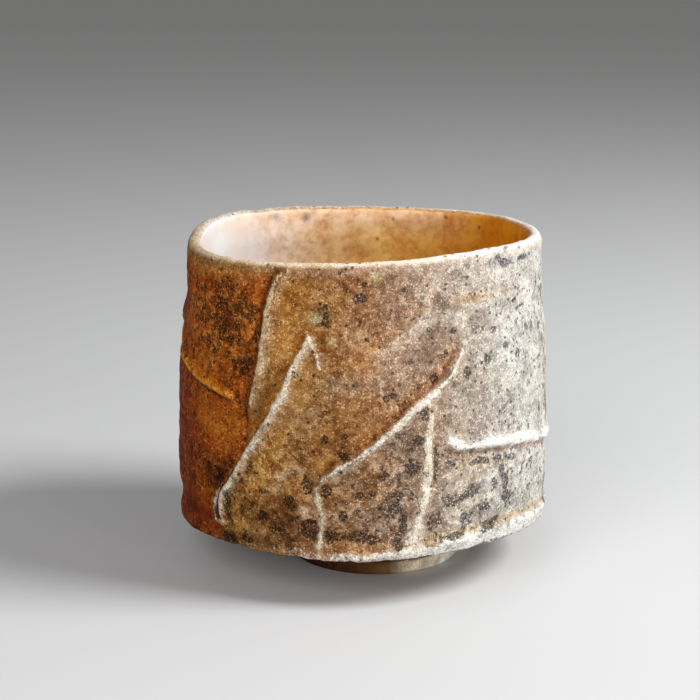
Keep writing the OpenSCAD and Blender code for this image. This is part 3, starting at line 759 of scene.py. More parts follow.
def ground(angle, z):
    """Tone and density of marks of the skin, before the rim and the ridges."""
    tone = skin_tone(angle, z)
    marks = np.stack([interp_round(ROUND_MARKS, angle, k) for k in (1, 2, 3)], axis=-1)
    for at, level, wide, tall, lean, stain, strength in STAINS:
        amount = strength * near(angle, z, at, level, wide * STAIN_SPREAD, tall * STAIN_SPREAD, lean)
        tone = blend(tone, stain, amount[:, None])
    for at, level, wide, tall, lean, more in MARKS:
        here = near(angle, z, at, level, wide * MARK_SPREAD, tall * MARK_SPREAD, lean)
        marks = marks + here[:, None] * np.array(more)
    for at, level, wide, tall, lean in CLUSTERS:
        here = near(angle, z, at, level, wide * CLUSTER_SPREAD, tall * CLUSTER_SPREAD, lean)
        marks[:, 0] += CLUSTER_GRAINS * here
    return tone, marks


def paint_ridges(tone, places, wander, fray):
    """Paints the lines along the ridges, and gives their pale crest and its cover."""
    ragged = 1 + 0.5 * wander + 0.3 * fray
    crest = tone * 0 + CREAM
    cover = wander * 0.0
    for name, ridge in LINES.items():
        along, away = places[name]
        away = away + FRAY_SHIFT * fray
        strength = ridge.strength(along)
        for middle, wide, line, amount in ridge.lines:
            bell = np.exp(-((away - middle) / (wide * ragged)) ** 2)
            tone = blend(tone, line, (amount * bell * strength)[:, None])
        middle, right, left, pale, amount = ridge.crest
        across = away - middle
        wide = np.where(across < 0, right, left) * ragged * ridge.width_at(along)
        here = amount * strength * (1 + 0.6 * wander) * np.exp(-(across / wide) ** 2)
        crest = blend(crest, pale, (here / np.maximum(here + cover, 1e-6))[:, None])
        cover = np.maximum(cover, here)
    return tone, crest, cover[:, None]


def paint(angle, z, places):
    """The tone, the density of marks, and the crest with its cover, at each point of the outer skin."""
    tone, marks = ground(angle, z)
    wander = roughness(angle, z, *WANDER)
    fray = roughness(angle, z, *FRAY)
    tone = tone * (1 + 0.25 * wander)[:, None]
    rim = ease((z - lip_z(angle) + RIM_BAND_DROP) / RIM_BAND_H)[:, None]
    tone = blend(tone, tone_round(RIM_TONES, angle), 0.9 * rim)
    tone, crest, cover = paint_ridges(tone, places, wander, fray)
    tone = blend(tone, crest, 0.4 * cover)
    marks = marks * (1 - 0.5 * rim) * (1 - 0.6 * cover)
    crease = np.exp(-((z - edge_top_z(angle) - FRAY_SHIFT * fray - CREASE_RISE) / CREASE_HALF) ** 2)
    crease = (crease * interp_round(EDGE_SHAPE, angle, 1))[:, None]
    tone = blend(tone, CREASE_TONE, 0.62 * crease)
    return np.clip(tone, 0, 1), np.clip(marks, 0, 1), np.hstack([crest, cover])


# Tones of the inside round the cup near the rim; the near-white on the left is partly the glaze's pale colour
# and partly painted light
INSIDE_TONES = [
    (-180, hue(216, 212, 208)), (-140, hue(200, 166, 128)), (-90, hue(196, 140, 74)),
    (-40, hue(192, 122, 20)), (0, hue(212, 130, 12)), (40, hue(206, 132, 16)), (76, hue(212, 158, 78)),
    (106, hue(192, 156, 114)), (130, hue(202, 190, 182)), (150, hue(222, 226, 228)),
    (180, hue(216, 212, 208))]

# Other tones inside: down the wall, on the bottom, of the pale veil under the back of the rim, which is
# partly painted light, and of the smudges
DEEP_TONE = hue(160, 100, 30)
BOTTOM_TONE = hue(176, 124, 66)
LIT_VEIL_TONE = hue(230, 194, 166)
SMUDGE_TONE = hue(104, 92, 90)
# The depth at which the wall takes its deep tone
DEEP = 60
# The pale veil, partly the glaze's colour and partly painted light: the angle of its middle, its reach to
# each side, how soft its ends are, its depth and its strength
LIT_VEIL_TURN = 105
LIT_VEIL_REACH = 65
LIT_VEIL_END = 35
LIT_VEIL_DEPTH = 4.4
LIT_VEIL_STRENGTH = 0.85
# Faint grey smudges under the lip: angle, depth, strength; and their half width and half height
SMUDGES = [(122.5, 0.6, 0.45), (111.5, 1.1, 0.7)]
SMUDGE_HALF = (2.6, 2)
# Marks of the inside and the lip: dark grains, cream flecks, dark specks
INSIDE_MARKS = [0.1, 0.1, 0.3]


def crest_tone(angle, turn):
    """Tone of the lip by its turn, which is 0 outside, a right angle on top and a half turn inside."""
    degrees = np.degrees(turn)
    upward = ease((degrees - 20) / 30)[:, None]
    inward = ease((degrees - 104) / 40)[:, None]
    outer = blend(tone_round(RIM_TONES, angle), tone_round(CREST_TONES, angle), upward)
    return blend(outer, tone_round(INSIDE_TONES, angle), inward)


def paint_inside(angle, run, depth):
    """Tone of the inside, by the run of inside_place and the depth under the lip."""
    tone = crest_tone(angle, math.pi * (1 + np.clip(run, -1, 0) / 2))
    tone = blend(tone, DEEP_TONE, 0.75 * ease(depth / DEEP)[:, None])
    tone = blend(tone, BOTTOM_TONE, ease((run - 1.5) / 1.2)[:, None])
    # Painted light, partly the glaze's own colour: a pale ragged veil under the back of the rim
    back = ease((LIT_VEIL_REACH - np.abs(turn_from(angle, LIT_VEIL_TURN))) / LIT_VEIL_END)
    ragged = np.clip(0.62 + 0.6 * roughness(angle, depth, 5, 8.2), 0, 1)
    under_lip = ease((run + 0.8) / 0.5) * np.exp(-(np.maximum(depth, 0) / LIT_VEIL_DEPTH) ** 2)
    tone = blend(tone, LIT_VEIL_TONE, (LIT_VEIL_STRENGTH * back * ragged * under_lip)[:, None])
    for at, level, strength in SMUDGES:
        tone = blend(tone, SMUDGE_TONE, (strength * near(angle, depth, at, level, *SMUDGE_HALF))[:, None])
    return tone


# Meshes
# Radius of the first tube, and how much more an upright edge rises than it runs
TUBE_R = 0.5
STEEP = 10


def tube(name, columns, splits, caps="NOTHING"):
    """An upright tube, one unit across and high, cut into rows of faces, and where its vertices lie on it."""
    bpy.ops.object.select_all(action="DESELECT")
    bpy.ops.mesh.primitive_cylinder_add(
        vertices=columns, radius=TUBE_R, depth=1, end_fill_type=caps, location=(0, 0, 0.5))
    piece = bpy.context.object
    piece.name = piece.data.name = name
    bpy.ops.object.transform_apply(location=True, rotation=True, scale=True)
    for cuts in splits:
        bpy.ops.object.mode_set(mode="EDIT")
        bpy.ops.mesh.select_mode(type="EDGE")
        bpy.ops.mesh.select_all(action="DESELECT")
        bpy.ops.object.mode_set(mode="OBJECT")
        co = coordinates(piece)
        pairs = np.empty(len(piece.data.edges) * 2, dtype=np.int32)
        piece.data.edges.foreach_get("vertices", pairs)
        rise = np.abs(np.diff(co[pairs.reshape(-1, 2)], axis=1))[:, 0]
        piece.data.edges.foreach_set("select", rise[:, 2] > STEEP * np.hypot(rise[:, 0], rise[:, 1]))
        bpy.ops.object.mode_set(mode="EDIT")
        bpy.ops.mesh.subdivide(number_cuts=cuts - 1)
        bpy.ops.object.mode_set(mode="OBJECT")
    return piece, *column_and_row(piece, columns, math.prod(splits))


def coordinates(piece):
    co = np.empty(len(piece.data.vertices) * 3)
    piece.data.vertices.foreach_get("co", co)
    return co.reshape(-1, 3)


def column_and_row(piece, columns, rows):
    """Each vertex's column round the tube and row up it, and which ones are the middles of its ends."""
    co = coordinates(piece)
    turn = np.degrees(np.arctan2(co[:, 1], co[:, 0])) % 360
    column = np.rint(turn / 360 * columns).astype(int) % columns
    return column, np.rint(co[:, 2] * rows).astype(int), np.hypot(co[:, 0], co[:, 1]) < TUBE_R / 2


def finish_piece(piece, place, tone, marks=None, crest=None, joined=False):
    """Puts each vertex in its place, in millimetres, joins the tube's ends if asked, smooths and colours."""
    piece.data.vertices.foreach_set("co", (place * MM).ravel())
    piece.data.update()
    bpy.ops.object.select_all(action="DESELECT")
    piece.select_set(True)
    bpy.context.view_layer.objects.active = piece
    bpy.ops.object.mode_set(mode="EDIT")
    if joined:
        bpy.ops.mesh.select_mode(type="EDGE")
        bpy.ops.mesh.select_all(action="DESELECT")
        bpy.ops.mesh.select_non_manifold()
        bpy.ops.mesh.bridge_edge_loops()
    bpy.ops.mesh.select_all(action="SELECT")
    bpy.ops.mesh.normals_make_consistent(inside=False)
    bpy.ops.object.mode_set(mode="OBJECT")
    bpy.ops.object.shade_smooth()
    piece.select_set(False)
    colour_piece(piece, np.clip(tone, 0, 1), marks, crest)
    return piece


def colour_piece(piece, tone, marks, crest):
    """Stores the tone, and for the fired skin its marks and its crest, whose fourth channel is its cover."""
    full = np.ones((len(tone), 1))
    layers = {"tone": np.hstack([tone, full])}
    if marks is not None:
        layers.update(marks=np.hstack([np.clip(marks, 0, 1), full]), crest=crest)
    for name, values in layers.items():
        layer = piece.data.attributes.new(name, "FLOAT_COLOR", "POINT")
        layer.data.foreach_set("color", values.ravel())


# Columns of the wall, the base edge and the liner, and how many degrees they are drawn towards the front
WALL_COLUMNS = 576
FRONT = -90
CROWDING = 18


def even_turn(column, columns):
    """Angle of a column; they stand closer together at the front."""
    turn = 360.0 * column / columns - 180
    return turn - CROWDING * np.sin(np.radians(turn - FRONT))


# Dents along the rim, as lumps, and the notch at its back left: angle, half width, depth
RIM_LUMPS = [(0.22, 7, 2.2), (0.12, 2, 6.4)]
NOTCH_TURN = 128
NOTCH_HALF = 6
NOTCH_DEPTH = 0.45


def rim_dents(angle):
    notch = NOTCH_DEPTH * near(angle, 0 * angle, NOTCH_TURN, 0, NOTCH_HALF, 1)
    return lumps(angle, 0 * angle, RIM_LUMPS) - notch


# The wall's cuts and rows: up its outside, over the lip, down the inside and round the curve
WALL_SPLITS = [14, 12]
LIP_ROWS = 10
BEND_ROWS = 5
# Drops of the inner rows under the lip, the last of them past the start of the curve
INNER_DROPS = [0.8, 2.2, 5, 12, 22, 33, 44, 99]
OUTER_ROWS = math.prod(WALL_SPLITS) - LIP_ROWS - len(INNER_DROPS) - BEND_ROWS
# How far the wall's inside lies back behind the glaze
GLAZE_ROOM = 0.2


def wall_outside(angle, share):
    """The wall's outer skin, by its share of the way from the seam to the lip."""
    z = blend(SEAM_Z, lip_z(angle), share)
    height, dip, places = skin(angle, z)
    return points(angle, z, outer_r(angle, z) + height - dip), *paint(angle, z, places)


def wall_lip(angle, share):
    """The rounded lip, by its share of the half turn from outside to inside."""
    z = lip_z(angle)
    height, _, places = skin(angle, z)
    turn = math.pi * share
    half = lip_thickness(angle) / 2
    r = outer_r(angle, z) - half + half * np.cos(turn) + height * np.clip(1 - 2 * share, 0, 1)
    place = points(angle, z + (LIP_T / 2 + rim_dents(angle)) * np.sin(turn), r)
    tone, marks, crest = paint(angle, z, places)
    over = ease(share / 0.25)[:, None]
    tone = blend(tone, crest_tone(angle, turn), over)
    marks = blend(marks, np.array(INSIDE_MARKS), over)
    return place, tone, marks, crest * (1 - over)


def wall_inside(angle, step):
    """The wall's inside behind the glaze, by rows: straight down, then round the curve to the seam."""
    drop = np.array(INNER_DROPS + [INNER_DROPS[-1]] * BEND_ROWS)[step]
    z = np.maximum(lip_z(angle) - drop, CURVE_Z)
    coat = -GLAZE_ROOM * ease((drop - 2) / 3)
    straight = points(angle, z, outer_r(angle, z) - wall_thickness(angle, z) - coat)
    bend = np.clip((step + 1 - len(INNER_DROPS)) / BEND_ROWS, 0, 1) * SEAM_ANGLE
    place = np.where((bend > 0)[:, None], inner_curve(angle, bend, coat), straight)
    marks = np.tile(INSIDE_MARKS, (len(angle), 1))
    return place, paint_inside(angle, 0 * angle, drop), marks, np.zeros((len(angle), 4))


def make_wall():
    piece, column, row, _ = tube("cup_wall", WALL_COLUMNS, WALL_SPLITS)
    angle = even_turn(column, WALL_COLUMNS)
    past = row - OUTER_ROWS
    layers = [np.zeros((len(row), channels)) for channels in (3, 3, 3, 4)]
    for here, side, step in ((past <= 0, wall_outside, row / OUTER_ROWS),
                             ((past > 0) & (past <= LIP_ROWS), wall_lip, past / LIP_ROWS),
                             (past > LIP_ROWS, wall_inside, past - LIP_ROWS - 1)):
        for layer, values in zip(layers, side(angle[here], step[here])):
            layer[here] = values
    place, tone, marks, crest = layers
    return finish_piece(piece, place, tone, marks, crest, joined=True)


def inner_curve(angle, turn, coat):
    """A point of the curve between wall and floor, at a turn down it and a coat's thickness off it."""
    z = CURVE_Z - INNER_CURVE_R * np.sin(turn) + 0 * angle
    inset = wall_thickness(angle, z) + INNER_CURVE_R * (1 - np.cos(turn)) + coat * np.cos(turn)
    place = points(angle, z, outer_r(angle, z) - inset)
    place[:, 2] += coat * np.sin(turn)
    return place


def inner_flat(angle, share, coat):
    """A point of the flat floor inside, at a share of the way out from its middle."""
    z = FLOOR_Z + 0 * angle
    r = (outer_r(angle, z) - wall_thickness(angle, z) - INNER_CURVE_R) * share
    place = points(angle, z, r)
    place[:, 2] += coat
    return place


def inside_place(angle, run, coat):
    """A point of the inside, by its run: -1 on the lip's crest, 0 and 1 at the straight wall's ends, 2 where
    the floor starts and 3 in its middle."""
    z = lip_z(angle)
    half = lip_thickness(angle) / 2
    turn = math.pi * (1 + np.clip(run, -1, 0) / 2)
    crest = points(angle, z, outer_r(angle, z) - half + (half + coat) * np.cos(turn))
    crest[:, 2] += (LIP_T / 2 + rim_dents(angle) + coat) * np.sin(turn)
    z = blend(z, CURVE_Z, np.clip(run, 0, 1))
    high = points(angle, z, outer_r(angle, z) - wall_thickness(angle, z) - coat)
    bend = inner_curve(angle, np.clip(run - 1, 0, 1) * math.pi / 2, coat)
    flat = inner_flat(angle, 1 - np.clip(run - 2, 0, 1), coat)
    low = np.where((run <= 2)[:, None], bend, flat)
    return np.where((run <= 0)[:, None], crest, np.where((run <= 1)[:, None], high, low))


# The liner's cuts, and its rows: its hidden back from the middle of the floor up to the lip, as runs, then
# its face down the lip, the wall and the curve, and over the floor
LINER_SPLITS = [12, 7]
LINER_BACK = [2.98, 2.6, 2.3, 2, 1.75, 1.5, 1.25, 1, 0.7, 0.4, 0.1, -0.4]
LINER_TOP = -0.76
FACE_LIP_ROWS = 6
FACE_WALL_ROWS = 40
FACE_CURVE_ROWS = 14
FACE_FLOOR_ROWS = 13
# Lengths of the lip, the straight wall and each of the curve and the floor, along the liner's face
LIP_RUN = 2.5
STRAIGHT_RUN = 54
LOW_RUN = 16
# Lumps of the liner: height, size and seed
LINER_LUMPS = [(0.12, 9, 4.4)]
# How deep the liner's back lies in the wall, and how deep the face lies where the glaze starts
BACK_SINK = 0.3
START_SINK = 0.05


def steps(count):
    return np.arange(1, count + 1) / count


def make_liner():
    piece, column, row, pole = tube("liner", WALL_COLUMNS, LINER_SPLITS, caps="TRIFAN")
    angle = even_turn(column, WALL_COLUMNS)
    run = np.concatenate([
        LINER_BACK, np.linspace(LINER_TOP, 0, FACE_LIP_ROWS), steps(FACE_WALL_ROWS) ** 1.2,
        1 + steps(FACE_CURVE_ROWS), 2 + 0.985 * steps(FACE_FLOOR_ROWS)])[row]
    depth = LIP_RUN * np.clip(run, -1, 0) + STRAIGHT_RUN * np.clip(run, 0, 1)
    depth = depth + LOW_RUN * np.clip(run - 1, 0, 2)
    waves = 0.1 * throwing_lines(angle, depth, 0.85) + lumps(angle, depth, LINER_LUMPS)
    coat = -START_SINK + (GLAZE_T + START_SINK + waves) * ease((depth + 1.9) / 5)
    place = inside_place(angle, run, np.where(row < len(LINER_BACK), -BACK_SINK, coat))
    place[pole & (row == 0)] = [body_x(FLOOR_Z), 0, FLOOR_Z - BACK_SINK]
    place[pole & (row > 0)] = [body_x(FLOOR_Z), 0, FLOOR_Z + GLAZE_T]
    return finish_piece(piece, place, paint_inside(angle, run, depth))


# The floor slab's cuts, and its rows: flat under the foot, up the slope, the seam, then its hidden top
FLOOR_COLUMNS = 288
FLOOR_SPLITS = [7, 4]
UNDER_ROWS = 7
SLOPE_ROWS = 14
SEAM_ROW = UNDER_ROWS + SLOPE_ROWS + 1
TOP_RUNS = [1.6, 1.75, 2, 2.3, 2.65, 2.97]
# The slope's rise at shares of its way out
SLOPE_SHARES = [(0, 0), (0.25, 0.16), (0.55, 0.45), (0.85, 0.82), (1, 1)]
# Where the slope ends behind the base edge: over the edge's low side, and in from the wall's skin
SLOPE_END_RISE = 0.4
SLOPE_END_INSET = 0.2
SEAM_INSET = 0.3
TOP_SINK = 0.22
CLAY_TONE = hue(150, 112, 74)


def make_floor():
    piece, column, row, pole = tube("floor_slab", FLOOR_COLUMNS, FLOOR_SPLITS, caps="TRIFAN")
    angle = 360.0 * column / FLOOR_COLUMNS
    turn = np.radians(angle)
    low = edge_low_z(angle) + SLOPE_END_RISE
    far = outer_r(angle, low) - SLOPE_END_INSET
    flat = np.clip(row / UNDER_ROWS, 0.05, 1)
    slope = np.clip((row - UNDER_ROWS) / SLOPE_ROWS, 0, 1)
    under = row <= UNDER_ROWS
    r = np.where(under, UNDERSIDE_R * flat, blend(UNDERSIDE_R, far, slope))
    rise = np.interp(slope, [s[0] for s in SLOPE_SHARES], [s[1] for s in SLOPE_SHARES])
    turned = 0.12 * throwing_lines(angle, r, 1.9) * (1 - slope)
    z = np.where(under, FOOT_H + 0.25 * (1 - flat) + turned, blend(FOOT_H, low, rise) + turned)
    place = np.stack([body_x(low) * slope + r * np.cos(turn), r * np.sin(turn), z], axis=-1)
    seam_z = SEAM_Z + 0 * angle
    seam = points(angle, seam_z, outer_r(angle, seam_z) - SEAM_INSET)
    place = np.where((row == SEAM_ROW)[:, None], seam, place)
    for k, run in enumerate(TOP_RUNS, SEAM_ROW + 1):
        here = row == k
        place[here] = inside_place(angle[here], run + 0 * angle[here], 0 * angle[here] - TOP_SINK)
    place[pole & (row == 0)] = [0, 0, FOOT_H + 0.3]
    place[pole & (row > 0)] = [body_x(FLOOR_Z), 0, FLOOR_Z - TOP_SINK]
    tone = blend(tone_round(ROUND_TONES, angle), CLAY_TONE, 0.65)
    tone = tone * (1 + lumps(angle, r, [(0.3, 6, 8.8)]))[:, None]
    return finish_piece(piece, place, tone)


# The foot ring's section: under its face from the inside out, up its outside, and down its hidden inside,
# as (distance out from FOOT_R, height)
FOOT_SECTION = [
    (-FOOT_FACE_W, 0.25), (0.3 - FOOT_FACE_W, 0.02), (-2, 0), (-0.9, 0), (-0.4, 0.08), (-0.08, 0.4),
    (0.12, 1), (0.3, 1.8), (0.48, 2.6), (0.62, 3.1), (0.45, 3.36), (0.1, 3.6), (0.22, 4.0), (0.5, 4.6),
    (0.95, 5.3), (1.5, 5.9), (-1, 6.6), (-0.6 - FOOT_FACE_W, 6.4), (-1.1 - FOOT_FACE_W, 5.2),
    (-0.6 - FOOT_FACE_W, 3.4), (-0.25 - FOOT_FACE_W, 1.6)]
# Tones of the foot ring round the cup; the near-white on the right is partly the ring's cream clay and partly
# painted light
FOOT_TONES = [
    (-180, hue(60, 24, 4)), (-120, hue(64, 26, 5)), (-98, hue(86, 56, 26)), (-82, hue(110, 78, 42)),
    (-66, hue(226, 212, 180)), (-50, hue(252, 248, 236)), (0, hue(250, 244, 230)), (60, hue(190, 166, 130)),
    (120, hue(120, 74, 32)), (180, hue(60, 24, 4))]

# The foot ring's cuts, the dark line of painted shade in its groove, and the painted shadow under the body
# over the groove
FOOT_COLUMNS = 360
FOOT_SPLITS = [10, 6]
GROOVE_RISE = 0.15
GROOVE_HALF = 0.35
GROOVE_SHADE_TONE = hue(40, 28, 18)
SHADE_TONE = hue(30, 20, 12)


def make_foot():
    piece, column, row, _ = tube("foot", FOOT_COLUMNS, FOOT_SPLITS)
    angle = 360.0 * column / FOOT_COLUMNS
    turn = np.radians(angle)
    stop = np.linspace(0, 1, len(FOOT_SECTION))
    out, z = [np.interp(row / math.prod(FOOT_SPLITS), stop, [s[k] for s in FOOT_SECTION]) for k in (0, 1)]
    rough = lumps(angle, z * 2.5, [(0.14, 5, 1.3)]) + lumps(angle, z * 4, [(0.07, 1.6, 7.7)])
    rough = rough * ease((z - 0.1) / 0.5) + 0.05 * np.sin(z * 9) * ease(z - 0.5)
    r = FOOT_R + out + rough + 0.15 * np.cos(turn - 0.6) * ease(z - 2.9)
    place = np.stack([r * np.cos(turn), r * np.sin(turn), np.maximum(z, 0)], axis=-1)
    # Painted shade: a dark line in the groove, and painted shadow under the body above it
    groove = np.exp(-((z - GROOVE_Z - GROOVE_RISE) / GROOVE_HALF) ** 2)[:, None]
    tone = blend(tone_round(FOOT_TONES, angle), GROOVE_SHADE_TONE, 0.8 * groove)
    tone = blend(tone, SHADE_TONE, (0.9 * ease((z - 4) / 0.9))[:, None])
    tone = tone * (1 + lumps(angle, z * 2, [(0.35, 4, 2.5)]))[:, None]
    return finish_piece(piece, place, tone, joined=True)


# Sections of the base edge from its low side up, as shares of its half height and of its crest: a thin
# flared lip at the front and left, and a bevel under a crease on the right
LIP_SECTION = [(-1, 0.0), (-0.99, 0.35), (-0.88, 0.72), (-0.66, 0.95), (-0.4, 1), (-0.1, 0.86), (0.2, 0.62),
               (0.5, 0.38), (0.75, 0.2), (0.95, 0.05), (1.15, -0.25)]
BEVEL_SECTION = [(-1, -0.5), (-0.97, -0.2), (-0.8, 0.05), (-0.4, 0.35), (0, 0.64), (0.3, 0.86), (0.5, 0.92),
                 (0.68, 0.76), (0.84, 0.46), (1, 0.12), (1.2, -0.25)]
# Tones of the edge's pale ash round the cup
EDGE_TONES = [
    (-180, hue(150, 64, 12)), (-150, hue(130, 50, 6)), (-142, hue(120, 60, 20)), (-134, hue(96, 66, 44)),
    (-118, hue(128, 104, 84)), (-106, hue(176, 168, 158)), (-92, hue(204, 200, 194)),
    (-64, hue(232, 230, 224)), (-40, hue(242, 241, 237)), (0, CREAM), (40, SHELL), (80, SAND),
    (130, hue(180, 112, 50)), (180, hue(150, 64, 12))]

# The base edge's cuts, and its two hidden rows, on top and at the back: how far in from the wall's skin
# they lie, how far down from the top, and how far up from the low side
EDGE_SPLITS = [5, 4]
EDGE_TOP_INSET = 1.2
EDGE_BACK_INSET = 1.4
EDGE_TOP_DROP = 0.6
EDGE_BACK_RISE = 0.7
# Roughness of the edge, as lumps: along it, over its face, of its flare, of its ash line and of its cover
EDGE_RAGGED = [(0.5, 5, 12.5), (0.4, 1.6, 3.3)]
EDGE_FINE = [(0.14, 1.4, 30.1), (0.14, 4, 31.7)]
EDGE_FLARE = [(0.5, 7, 14.1)]
EDGE_LINE = [(0.6, 2.2, 17.2)]
EDGE_COVER = [(1, 1.6, 19.3)]


def edge_section(k, u, bevel):
    """Value k of the edge's section at a share of the way up it, between the lip's and the bevel's."""
    stop = np.linspace(0, 1, len(LIP_SECTION))
    return blend(np.interp(u, stop, [s[k] for s in LIP_SECTION]),
                 np.interp(u, stop, [s[k] for s in BEVEL_SECTION]), bevel)


def make_base_edge():
    piece, column, row, _ = tube("raised_base_edge", WALL_COLUMNS, EDGE_SPLITS)
    rows = math.prod(EDGE_SPLITS)
    angle = even_turn(column, WALL_COLUMNS)
    bevel, reach, ash = [interp_round(EDGE_SHAPE, angle, k) for k in (1, 2, 3)]
    face_rows = rows - 2
    u = np.clip(row / face_rows, 0, 1)
    share, lift = edge_section(0, u, bevel), edge_section(1, u, bevel)
    ragged = lumps(angle, 0 * angle, EDGE_RAGGED)
    z = edge_mid_z(angle) + edge_half_h(angle) * share + ragged * (1 - 0.5 * np.abs(share))
    height, _, places = skin(angle, np.maximum(z, edge_top_z(angle)))
    flare = EDGE_OUT * reach * (1 + lumps(angle, 0 * angle, EDGE_FLARE))
    out = flare * lift + blend(lumps(angle, z, EDGE_FINE), height, ease(share * 1.2))
    r = outer_r(angle, z) + out
    top, back = row == face_rows + 1, row == rows
    r = np.where(top, outer_r(angle, z) - EDGE_TOP_INSET, r)
    z = np.where(top, z - EDGE_TOP_DROP, z)
    r = np.where(back, outer_r(angle, z) - EDGE_BACK_INSET, r)
    z = np.where(back, edge_low_z(angle) + EDGE_BACK_RISE, z)
    tone, marks, crest = paint(angle, np.maximum(z, edge_low_z(angle)), places)
    line = blend(0.8, 0.9, bevel) + lumps(angle, 0 * angle, EDGE_LINE)
    broken = 1 + blend(0.7, 0.3, bevel) * lumps(angle, z, EDGE_COVER)
    cover = (np.clip(ease((line - share) / 0.5) * broken, 0, 1) * ash)[:, None]
    pale = tone_round(EDGE_TONES, angle)
    # Painted shade on the edge's low side under its lip: darkened towards umber and kept clear of the pale
    # ash
    under = ease((-0.8 - share) / 0.2)[:, None]
    tone = blend(blend(tone, pale, cover * 0.5), UMBER, 0.6 * under)
    marks = marks * (1 - 0.6 * cover)
    crest = np.hstack([blend(crest[:, :3], pale, cover), np.maximum(crest[:, 3:], cover * (1 - 0.8 * under))])
    return finish_piece(piece, points(angle, z, r), tone, marks, crest, joined=True)


# A strip's columns, those of them on its top, its cuts across a block of rows, and about how long a block is
STRIP_COLUMNS = 36
STRIP_TOP_COLUMNS = 27
BLOCK_ROWS = 10
BLOCK_LENGTH = 2.8
FEWEST_BLOCKS = 3
# How far ahead and behind a strip's heading is taken
HEADING_STEP = 0.4
# How deep a strip's sides, underside and ends lie in the wall, and the width over which its top sinks
SIDE_SINK = 0.16
UNDER_SINK = 0.75
END_SINK = 0.35
SINK_RUN = 0.8


def make_ridge(name, ridge):
    """A strip of skin along a ridge's route, its top on the skin and its sides and underside sunk in."""
    blocks = max(FEWEST_BLOCKS, int(round(ridge.length[-1] / BLOCK_LENGTH)))
    piece, column, row, pole = tube("skin_" + name, STRIP_COLUMNS, [BLOCK_ROWS, blocks], caps="TRIFAN")
    along = row / (BLOCK_ROWS * blocks) * ridge.length[-1]
    run = ridge.spot(along + HEADING_STEP) - ridge.spot(along - HEADING_STEP)
    run = run / np.linalg.norm(run, axis=1)[:, None]
    side = np.stack([-run[:, 1], run[:, 0]], axis=-1)
    on_top = column < STRIP_TOP_COLUMNS
    over = 1 - 2 * column / (STRIP_TOP_COLUMNS - 1)
    beneath = -1 + 2 * (column - STRIP_TOP_COLUMNS + 1) / (STRIP_COLUMNS - STRIP_TOP_COLUMNS + 1)
    half = ridge.half_at(along)
    away = np.where(pole, 0, np.where(on_top, over, beneath) * half)
    spot = ridge.spot(along) + side * away[:, None]
    angle, z = spot[:, 0] / DEGREE, spot[:, 1]
    height, _, places = skin(angle, z)
    sink = np.where(on_top, SIDE_SINK * ease((np.abs(away) - half + SINK_RUN) / SINK_RUN), UNDER_SINK)
    sink = np.where(pole, END_SINK, sink)
    place = points(angle, z, outer_r(angle, z) + height - sink)
    return finish_piece(piece, place, *paint(angle, z, places))


# Finishes
# Pale ash of the light grains, the dark gaps between grains, and the veils of scorch and of soot
WHITE = (1, 1, 1)
PALE_ASH = hue(250, 240, 224)
DARK_GAP = (0.03, 0.016, 0.008)
SCORCH = (0.3, 0.28, 0.3)
SOOT_VEIL = (0.05, 0.05, 0.065)


